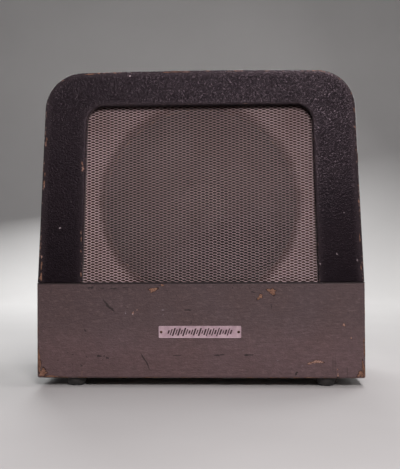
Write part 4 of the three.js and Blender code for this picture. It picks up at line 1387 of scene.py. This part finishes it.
def racetrack(turns, radius):
    """The (x, y) point after a number of turns round both posts."""
    straight, bend = 2 * POST_X, math.pi * radius
    d = (turns % 1.0) * (2 * straight + 2 * bend)
    if d < straight:
        return (-POST_X + d, POST_Y - radius)
    d -= straight
    if d < bend:
        a = -math.pi / 2 + d / radius
        return (POST_X + radius * math.cos(a), POST_Y + radius * math.sin(a))
    d -= bend
    if d < straight:
        return (POST_X - d, POST_Y + radius)
    d -= straight
    a = math.pi / 2 + d / radius
    return (-POST_X + radius * math.cos(a), POST_Y + radius * math.sin(a))


def build_cable():
    """Down the inner layer of turns, up the outer one, and two loose ends."""
    cable_r, inner_r, layer_step = 3.25, 13.6, 8.4
    turns, steps = 5, 64
    lowest = 25.3 + 6 + cable_r
    pitch = 6.55
    coil = []
    for i in range(turns * steps + 1):
        s = i / steps
        coil.append((*racetrack(s, inner_r), lowest + pitch * (turns - s) * 0.98))
    for i in range(1, turns * steps + 1):
        s = i / steps
        z = lowest + pitch * s * 0.98 + 0.25 * math.sin(s * 9)
        coil.append((*racetrack(s, inner_r + layer_step * min(1, i / 10)), z))
    head = catmull([(-13, -20, 128), (-15, -10, 121), (-24, 4, 102), (-42, 10, 84),
                    (-64, 11, 73), (-84, 13, 66)], 8)
    tail = catmull([(80, 47, 58), (40, 58, 54), (14, 70, 44), (-16, 78, 36), (-47, 79, 34)], 8)
    shapes = [sweep(path, circle(cable_r, 10)) for path in (coil, head, tail)]
    make("coiled_cable", merge(shapes), CABLE,
         stands_for=["speaker_cable"], sharp=60)


def build_cores():
    """Two cores out to the tags."""
    shapes = []
    for s, end_x in ((-1, -12.5), (1, 10.5)):
        path = catmull([(-13 + s * 1.2, -20.5, 128.4), (-13 + s * 2.0, -22.8, 130.5),
                        (end_x, -23.8, 132.5)], 6)
        shapes.append(sweep(path, circle(0.9, 8)))
    make("cable_cores", merge(shapes), plain("core_sleeve", srgb(120, 40, 32), rough=0.6),
         sharp=60)


def build_plug():
    """A jack plug on the cable's end, pointing left."""
    def place(u, a, w):
        return (-46 - a, 79 + u, 34 + w)

    body = [(0, 0), (4.2, 0), (4.4, 0.6), (4.6, 2), (6.2, 6), (7.9, 9.6), (8.4, 12),
            (8.4, 13.5), (7.9, 14.2), (7.9, 15.0), (8.4, 15.8), (8.4, 17), (7.9, 17.7),
            (7.9, 18.5), (8.4, 19.3), (8.4, 38), (8.0, 39.4), (7.4, 40), (0, 40)]
    make("plug_shell", lathe(body, place, 40), BAKELITE,
         stands_for=["plug_body"], sharp=50)
    tip = [(0, 40.3), (5.4, 40.3), (5.4, 42), (3.15, 42.3), (3.15, 58), (2.7, 58.2),
           (2.7, 59.4), (3.15, 59.6), (3.15, 63), (2.2, 64.6), (2.4, 65.6), (3.1, 67.2),
           (2.6, 69.4), (1.2, 71.2), (0, 71.6)]
    make("plug_tip", lathe(tip, place, 32), PLATED,
         stands_for=["plug_contact"], sharp=50)


build_cable()
build_cores()
build_plug()


# ------------------------------------------------------------------ chips, stains and scratches
# Each is a thin patch that follows the surface.
def trees(*obs):
    return [BVHTree.FromPolygons([ob.matrix_world @ v.co for v in ob.data.vertices],
                                 [tuple(p.vertices) for p in ob.data.polygons]) for ob in obs]


FRONT_TREES = trees(front, panel)
CASE_TREES = FRONT_TREES + trees(wall)
PATCH_LIFT = 0.06  # height above the surface


def patch(center, width, height, turn, seed, direction=(0, 1, 0), among=FRONT_TREES,
          rings=4, spokes=26, rough=0.5):
    """One irregular patch dropped along direction: points, faces and 'core' values.

    The direction is along an axis. None if its centre misses the surface.
    """
    rng = random.Random(seed)
    d = Vector(direction)
    across = Vector((0, 1, 0)) if d.x else Vector((1, 0, 0))
    upwards = Vector((0, 1, 0)) if d.z else Vector((0, 0, 1))
    cos, sin = math.cos(turn), math.sin(turn)
    phase = [rng.uniform(0, 6.28) for _ in range(4)]
    swing = [rough * rng.uniform(0.3, 1) for _ in range(4)]
    angles = [2 * math.pi * k / spokes for k in range(spokes)]
    reach = [1 + swing[0] * math.sin(2 * t + phase[0]) * 0.6
             + swing[1] * math.sin(3 * t + phase[1]) * 0.6
             + swing[2] * math.sin(5 * t + phase[2]) * 0.45
             + rng.uniform(-1, 1) * rough * 0.3 for t in angles]
    center = Vector(center)

    def drop(a, b):
        """The nearest surface point below (a, b) of the patch, lifted."""
        p = center + across * (a * cos - b * sin) + upwards * (a * sin + b * cos)
        best = None
        for tree in among:
            hit = tree.ray_cast((p - d * 60) * MM, d, 0.14)
            if hit[0] is not None and (best is None or hit[3] < best[3]):
                best = hit
        if best is None:
            return None
        normal = best[1] if best[1].dot(d) < 0 else -best[1]
        return best[0] / MM + normal * PATCH_LIFT

    middle = drop(0, 0)
    if middle is None:
        return None
    points, core = [tuple(middle)], [1.0]
    for t, spoke in zip(angles, reach):
        last = middle
        for r in range(1, rings + 1):
            s = r / rings * spoke
            p = drop(0.5 * width * s * math.cos(t), 0.5 * height * s * math.sin(t))
            # a spoke stops where the surface ends or drops away
            if p is None or (p - last).length > max(width, height) * 1.2 + 1.0:
                p = last
            last = p
            points.append(tuple(p))
            core.append(1.0 - r / rings)
    faces = []
    for k in range(spokes):
        a, b = k * rings, (k + 1) % spokes * rings
        faces.append((0, a + 1, b + 1))
        for r in range(1, rings):
            faces.append((a + r, a + r + 1, b + r + 1, b + r))
    return points, faces, core


def frame_point(x, rise):
    return lean(x, STEP, rise)


def panel_point(x, z):
    return (x, FRONT, z)


def patches(surface, rows):
    """Rows are (x, height on the surface, width, height, turn in degrees, seed)."""
    return [patch(surface(x, up), width, height, math.radians(turn), seed)
            for x, up, width, height, turn, seed in rows]


def make_patches(name, found, mat):
    found = [p for p in found if p]
    make(name, merge([p[:2] for p in found]), mat, sharp=None,
         attrs={"core": [c for p in found for c in p[2]]})


random.seed(3)  # the module-level stream; every draw below has its own generator
wood = patches(frame_point, [
    (-154.5, 295.2, 13.5, 2.6, 2, 1), (-222.6, 24, 2.4, 13, -1, 2), (-223.0, 8, 3.0, 15, 1, 14),
    (-219.6, 141, 2.4, 9, -4, 3), (-218.6, 153, 1.8, 6, 3, 15), (-216.2, 203, 2.0, 6, 0, 4),
    (-165.6, 168, 2.6, 6, 8, 5), (-166.4, 61, 1.8, 8, -3, 6), (-166.8, 44, 1.6, 5, 2, 16),
    (-166.6, 11, 2.0, 8, 0, 7), (216.8, 241, 1.8, 6, 5, 8), (221.8, 174, 2.2, 13, 2, 9),
    (222.4, 60, 1.6, 12, 2, 10), (223.6, 20, 1.6, 9, 0, 11), (-34, 297.0, 22, 1.4, 1, 12),
    (-46, 296.6, 9, 1.8, 0, 13),
]) + patches(panel_point, [
    (-65.1, 136.2, 11.5, 7.4, 20, 41), (100.4, 134.0, 13.5, 9.0, 10, 42),
    (83.8, 126.0, 10.0, 6.0, 30, 43), (-52, 142.6, 5.0, 3.6, 0, 44), (-226.4, 40, 3.8, 34, 0, 45),
    (-222.0, 19.5, 15, 14, -40, 46), (-208, 15.0, 22, 4.0, -3, 47), (-225.6, 30, 6.0, 17, 4, 54),
    (226.4, 24, 5.4, 27, 3, 48), (222.0, 18.0, 13, 11.0, 30, 49), (227.2, 52, 2.4, 22, 0, 50),
    (227.0, 66, 2.6, 8, 0, 51), (-227.6, 78, 1.6, 12, 0, 52), (228.0, 104, 1.2, 14, 0, 53),
])
pale = patches(frame_point, [
    (-164.6, 160, 3.6, 7, -6, 26), (-166.8, 70, 1.6, 5, 0, 27), (-222.4, 36, 1.8, 5, 0, 28),
    (-217.4, 196, 1.6, 10, -4, 21), (-219.6, 136, 1.8, 7, 0, 22), (218.8, 184, 1.2, 3, 0, 23),
    (222.0, 169, 1.3, 8, 0, 24), (-20, 296.8, 16, 1.1, 0, 25),
]) + patches(panel_point, [
    (162.0, 36.0, 20, 4.6, 4, 61), (151.6, 33.6, 8, 2.4, -10, 62), (-93.3, 104.0, 2.4, 5.4, -18, 71),
    (-87.7, 108.2, 2.2, 2.4, 0, 72), (199.4, 87.1, 4.6, 4.0, -30, 63),
    (208.9, 69.2, 2.4, 3.0, 0, 64), (152, 14.2, 17, 1.6, 0, 65), (190.8, 17.5, 2.0, 8.0, 0, 66),
    (190.4, 25.5, 1.2, 4.0, 0, 67), (227.2, 64.8, 2.2, 5.0, 0, 68), (-201, 15.0, 5, 2.0, 0, 69),
    (-165.4, 18.8, 0.9, 9, 0, 70),
])
bright = patches(frame_point, [
    (-97.9, 291.9, 2.3, 2.1, 0, 31), (-196.6, 76.8, 2.1, 1.9, 0, 32),
]) + patches(panel_point, [
    (-87.9, 108.0, 1.0, 1.2, 0, 73), (-93.6, 102.4, 0.9, 1.8, 0, 74),
])
specks = patches(frame_point, [
    (-214.8, 253.2, 1.8, 1.6, 0, 33), (190.7, 38.6, 1.8, 3.0, 20, 34), (218.4, 30, 1.6, 3, 0, 35),
    (167.2, 25, 1.8, 3.2, 0, 36), (-128, 288, 1.4, 1.2, 0, 37), (176, 262, 1.5, 1.2, 0, 38),
    (201, 96, 1.4, 1.6, 0, 39),
]) + patches(panel_point, [
    (-51.3, 108.2, 2.6, 1.9, 0, 73), (-51.0, 101.6, 1.5, 1.3, 0, 74), (-104, 104, 1.2, 3.4, 0, 75),
    (-200.4, 14.6, 1.8, 1.4, 0, 76), (108, 38, 1.6, 1.2, 0, 77), (141.6, 30.4, 1.8, 1.2, 0, 78),
    (60, 52, 1.0, 1.0, 0, 79),
])
dark = patches(panel_point, [
    (-130.5, 117.0, 2.6, 13.0, 33, 81), (-124.6, 110.6, 11, 3.6, -38, 82),
    (-78.0, 40.0, 1.8, 18, 32, 83), (-73.0, 31.0, 1.5, 11, 22, 84),
    (-16.4, 108.1, 8.6, 2.4, -4, 85), (74.1, 133.0, 7.0, 1.6, -20, 86),
    (-141.4, 44.0, 6.5, 3.0, -12, 87), (-129.7, 41.4, 3.6, 2.6, 0, 88), (-31, 45.0, 12, 1.3, 3, 89),
    (26.4, 45.4, 12.5, 2.2, 4, 90), (66.8, 45.6, 12, 2.2, -2, 91), (-161, 80, 1.4, 5, 30, 92),
    (-208.5, 134.5, 1.0, 5, -4, 93), (99.3, 113, 1.2, 6.5, 0, 94), (-12.0, 90.5, 1.0, 4.5, -10, 95),
    (-152, 139.6, 7, 3, 15, 96), (-136, 138.8, 5, 1.6, 0, 97), (-120, 138.4, 9, 2.0, 3, 98),
    (-104, 139.4, 7, 1.4, 0, 99), (133.5, 20.0, 5, 3.2, 50, 100), (190.6, 14.6, 4.0, 2.4, 0, 101),
    (-166, 30, 3, 2, 0, 102), (222.6, 17.2, 5.4, 1.5, 36, 103), (225.8, 22.6, 1.2, 7.0, 12, 104),
])

# small dark flecks, low on the left and along the top of the panel
rng = random.Random(27)
for k in range(46):
    if k < 22:
        x, z = rng.uniform(-208, -120), rng.gauss(44, 9)
    else:
        x = rng.uniform(-160, 60) if k % 3 else rng.uniform(60, 150)
        z = rng.gauss(137, 4.5)
    dark.append(patch(panel_point(x, min(142.5, max(17, z))), rng.uniform(0.7, 2.4),
                      rng.uniform(0.6, 1.5), rng.uniform(-1, 1), 500 + k, spokes=12, rings=2))
# upright hairline cracks near the panel's foot: x, lower end, upper end
for k, (x, z0, z1) in enumerate(((184.0, 16, 46), (186.9, 15, 47), (-165.5, 14, 27),
                                 (203.5, 14, 30))):
    dark.append(patch(panel_point(x, (z0 + z1) / 2), 0.55, z1 - z0, 0, 110 + k, rough=0.1))


def side_patch(s, y, z, width, height, turn, seed):
    """A patch on the right (s = 1) or left (s = -1) side, aimed from outside it."""
    return patch((s * 240, y, z), width, height, turn, seed, direction=(-s, 0, 0),
                 among=CASE_TREES)


def top_patch(x, y, width, height, turn, seed):
    return patch((x, y, 470), width, height, turn, seed, direction=(0, 0, -1),
                 among=CASE_TREES)


# wear round the sides and the top
rng = random.Random(11)
for k in range(34):
    s = rng.choice((-1, 1))
    kind = rng.random()
    z = rng.uniform(24, 330)
    if kind < 0.55:  # rear rim
        wood.append(side_patch(s, BACK - rng.uniform(0.6, 2.2), z, rng.uniform(1.4, 3.2),
                               rng.uniform(4, 20), 0, 200 + k))
    elif kind < 0.8:  # front edge
        y = FRONT + max(0, z - SEAM) * math.tan(LEAN) + rng.uniform(3, 7)
        pale.append(side_patch(s, y, z, rng.uniform(1.2, 2.6), rng.uniform(3, 12), 0, 200 + k))
    else:  # anywhere on the side
        pale.append(side_patch(s, rng.uniform(-90, 100), rng.uniform(20, 340),
                               rng.uniform(1.2, 5), rng.uniform(1, 2.6),
                               rng.uniform(-0.6, 0.6), 200 + k))
for k in range(16):
    x = rng.uniform(-160, 160)
    if k % 2:
        wood.append(top_patch(x, BACK - rng.uniform(0.6, 2.0), rng.uniform(5, 16),
                              rng.uniform(1.4, 2.8), 0, 300 + k))
    else:
        pale.append(top_patch(x, rng.uniform(-90, 100), rng.uniform(1.2, 4), rng.uniform(1, 2),
                              rng.uniform(-1, 1), 300 + k))
for s in (-1, 1):  # lower rear corners and lower edges, scuffed by the floor
    wood.append(side_patch(s, 111, 17, 7, 12, 0, 400 + s))
    wood.append(side_patch(s, 40, 14.5, 34, 2.6, 0, 404 + s))
make_patches("worn_spots_wood", wood, CHIP)
make_patches("worn_spots_pale", pale, CHIP_PALE)
make_patches("primer_specks", specks, PRIMER_DIM)
make_patches("primer_spots", bright, PRIMER)
make_patches("dark_scratches", dark, SCRATCH)

# any CAD piece still shown without a finish of its own is steel
for name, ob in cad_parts.items():
    if not ob.hide_render and name not in CAD_FINISHES:
        finish_node(name, STEEL, 0)


# ------------------------------------------------------------------ stage, lights and camera
# Lengths from here on are metres.
def build_stage():
    """A pale floor that curves up into a wall behind the case."""
    m = Mat("pale_floor")
    cloud = m.noise(scale=0.004, detail=3)
    m.set(color=m.mix(cloud, (0.47, 0.465, 0.46), (0.53, 0.525, 0.52)), rough=0.75)
    half_width, front_y, wall_y, wall_top, curve_r = 4.0, -3.0, 2.2, 3.4, 0.9
    profile = [(front_y, 0.0), (wall_y - curve_r, 0.0)]
    for degrees in range(6, 91, 6):
        turn = math.radians(degrees)
        profile.append((wall_y - curve_r + curve_r * math.sin(turn),
                        curve_r - curve_r * math.cos(turn)))
    profile.append((wall_y, wall_top))
    points = [(x, y, z) for x in (-half_width, half_width) for y, z in profile]
    count = len(profile)
    faces = [(i, i + 1, count + i + 1, count + i) for i in range(count - 1)]
    mesh = bpy.data.meshes.new("floor")
    mesh.from_pydata(points, [], faces)
    shade(mesh, None)
    floor = bpy.data.objects.new("floor", mesh)
    scene.collection.objects.link(floor)
    mesh.materials.append(m.material)
    floor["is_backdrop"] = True


def area_light(name, location, target, size, power, color):
    light = bpy.data.lights.new(name, "AREA")
    light.shape = "RECTANGLE"
    light.size, light.size_y = size
    light.energy = power
    light.color = color
    lamp = bpy.data.objects.new(name, light)
    lamp.location = location
    aim = Vector(target) - Vector(location)
    lamp.rotation_euler = aim.to_track_quat("-Z", "Y").to_euler()
    scene.collection.objects.link(lamp)


def build_world():
    """A pale grey where seen directly past the floor; it lights the object only faintly."""
    world = bpy.data.worlds.new("soft_sky")
    world.use_nodes = True
    tree = world.node_tree
    light = tree.nodes["Background"]
    light.inputs["Color"].default_value = (0.9, 0.9, 0.92, 1)
    light.inputs["Strength"].default_value = 0.1
    seen = tree.nodes.new("ShaderNodeBackground")
    seen.inputs["Color"].default_value = (0.36, 0.36, 0.355, 1)
    path = tree.nodes.new("ShaderNodeLightPath")
    either = tree.nodes.new("ShaderNodeMixShader")
    tree.links.new(path.outputs["Is Camera Ray"], either.inputs[0])
    tree.links.new(light.outputs[0], either.inputs[1])
    tree.links.new(seen.outputs[0], either.inputs[2])
    tree.links.new(either.outputs[0], tree.nodes["World Output"].inputs[0])
    scene.world = world


def build_camera():
    yaw, pitch, roll = math.radians(-2.4), math.radians(-0.04), math.radians(-0.29)
    x, y, z = 0.050, -1.287, 0.214
    ahead = Vector((math.sin(yaw) * math.cos(pitch), math.cos(yaw) * math.cos(pitch),
                    math.sin(pitch)))
    right = ahead.cross(Vector((0, 0, 1))).normalized()
    up = right.cross(ahead)
    right, up = (right * math.cos(roll) + up * math.sin(roll),
                 up * math.cos(roll) - right * math.sin(roll))
    data = bpy.data.cameras.new("camera")
    data.sensor_width = 36
    data.lens = 64.707889
    data.clip_start, data.clip_end = 0.05, 20
    camera = bpy.data.objects.new("camera", data)
    camera.matrix_world = Matrix(((right.x, up.x, -ahead.x, x), (right.y, up.y, -ahead.y, y),
                                  (right.z, up.z, -ahead.z, z), (0, 0, 0, 1)))
    scene.collection.objects.link(camera)
    scene.camera = camera


build_stage()
area_light("key", location=(0.26, -1.56, 0.95), target=(0, -0.1, 0.24), size=(0.42, 0.42),
           power=23, color=(1.0, 0.94, 0.945))
area_light("top", location=(0.4, -0.02, 1.35), target=(0.05, -0.06, 0.3), size=(0.7, 0.35),
           power=7, color=(1.0, 0.95, 0.97))
area_light("fill", location=(-1.6, -0.9, 0.8), target=(0, 0, 0.2), size=(1.2, 1.2),
           power=1.6, color=(0.95, 0.96, 1.0))
area_light("back", location=(-0.35, 1.75, 0.95), target=(0, 0, 0.2), size=(1.3, 0.8),
           power=27, color=(1, 1, 1))
area_light("rear_side", location=(1.35, 1.35, 0.7), target=(0, 0.1, 0.2), size=(1.1, 1.1),
           power=11, color=(1, 0.98, 0.97))
build_world()
build_camera()
scene.view_settings.view_transform = "Standard"

sizes = {"cad": cad_box, "visual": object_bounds()}
sizes = {key: [[float(c) for c in p] for p in box] for key, box in sizes.items()}
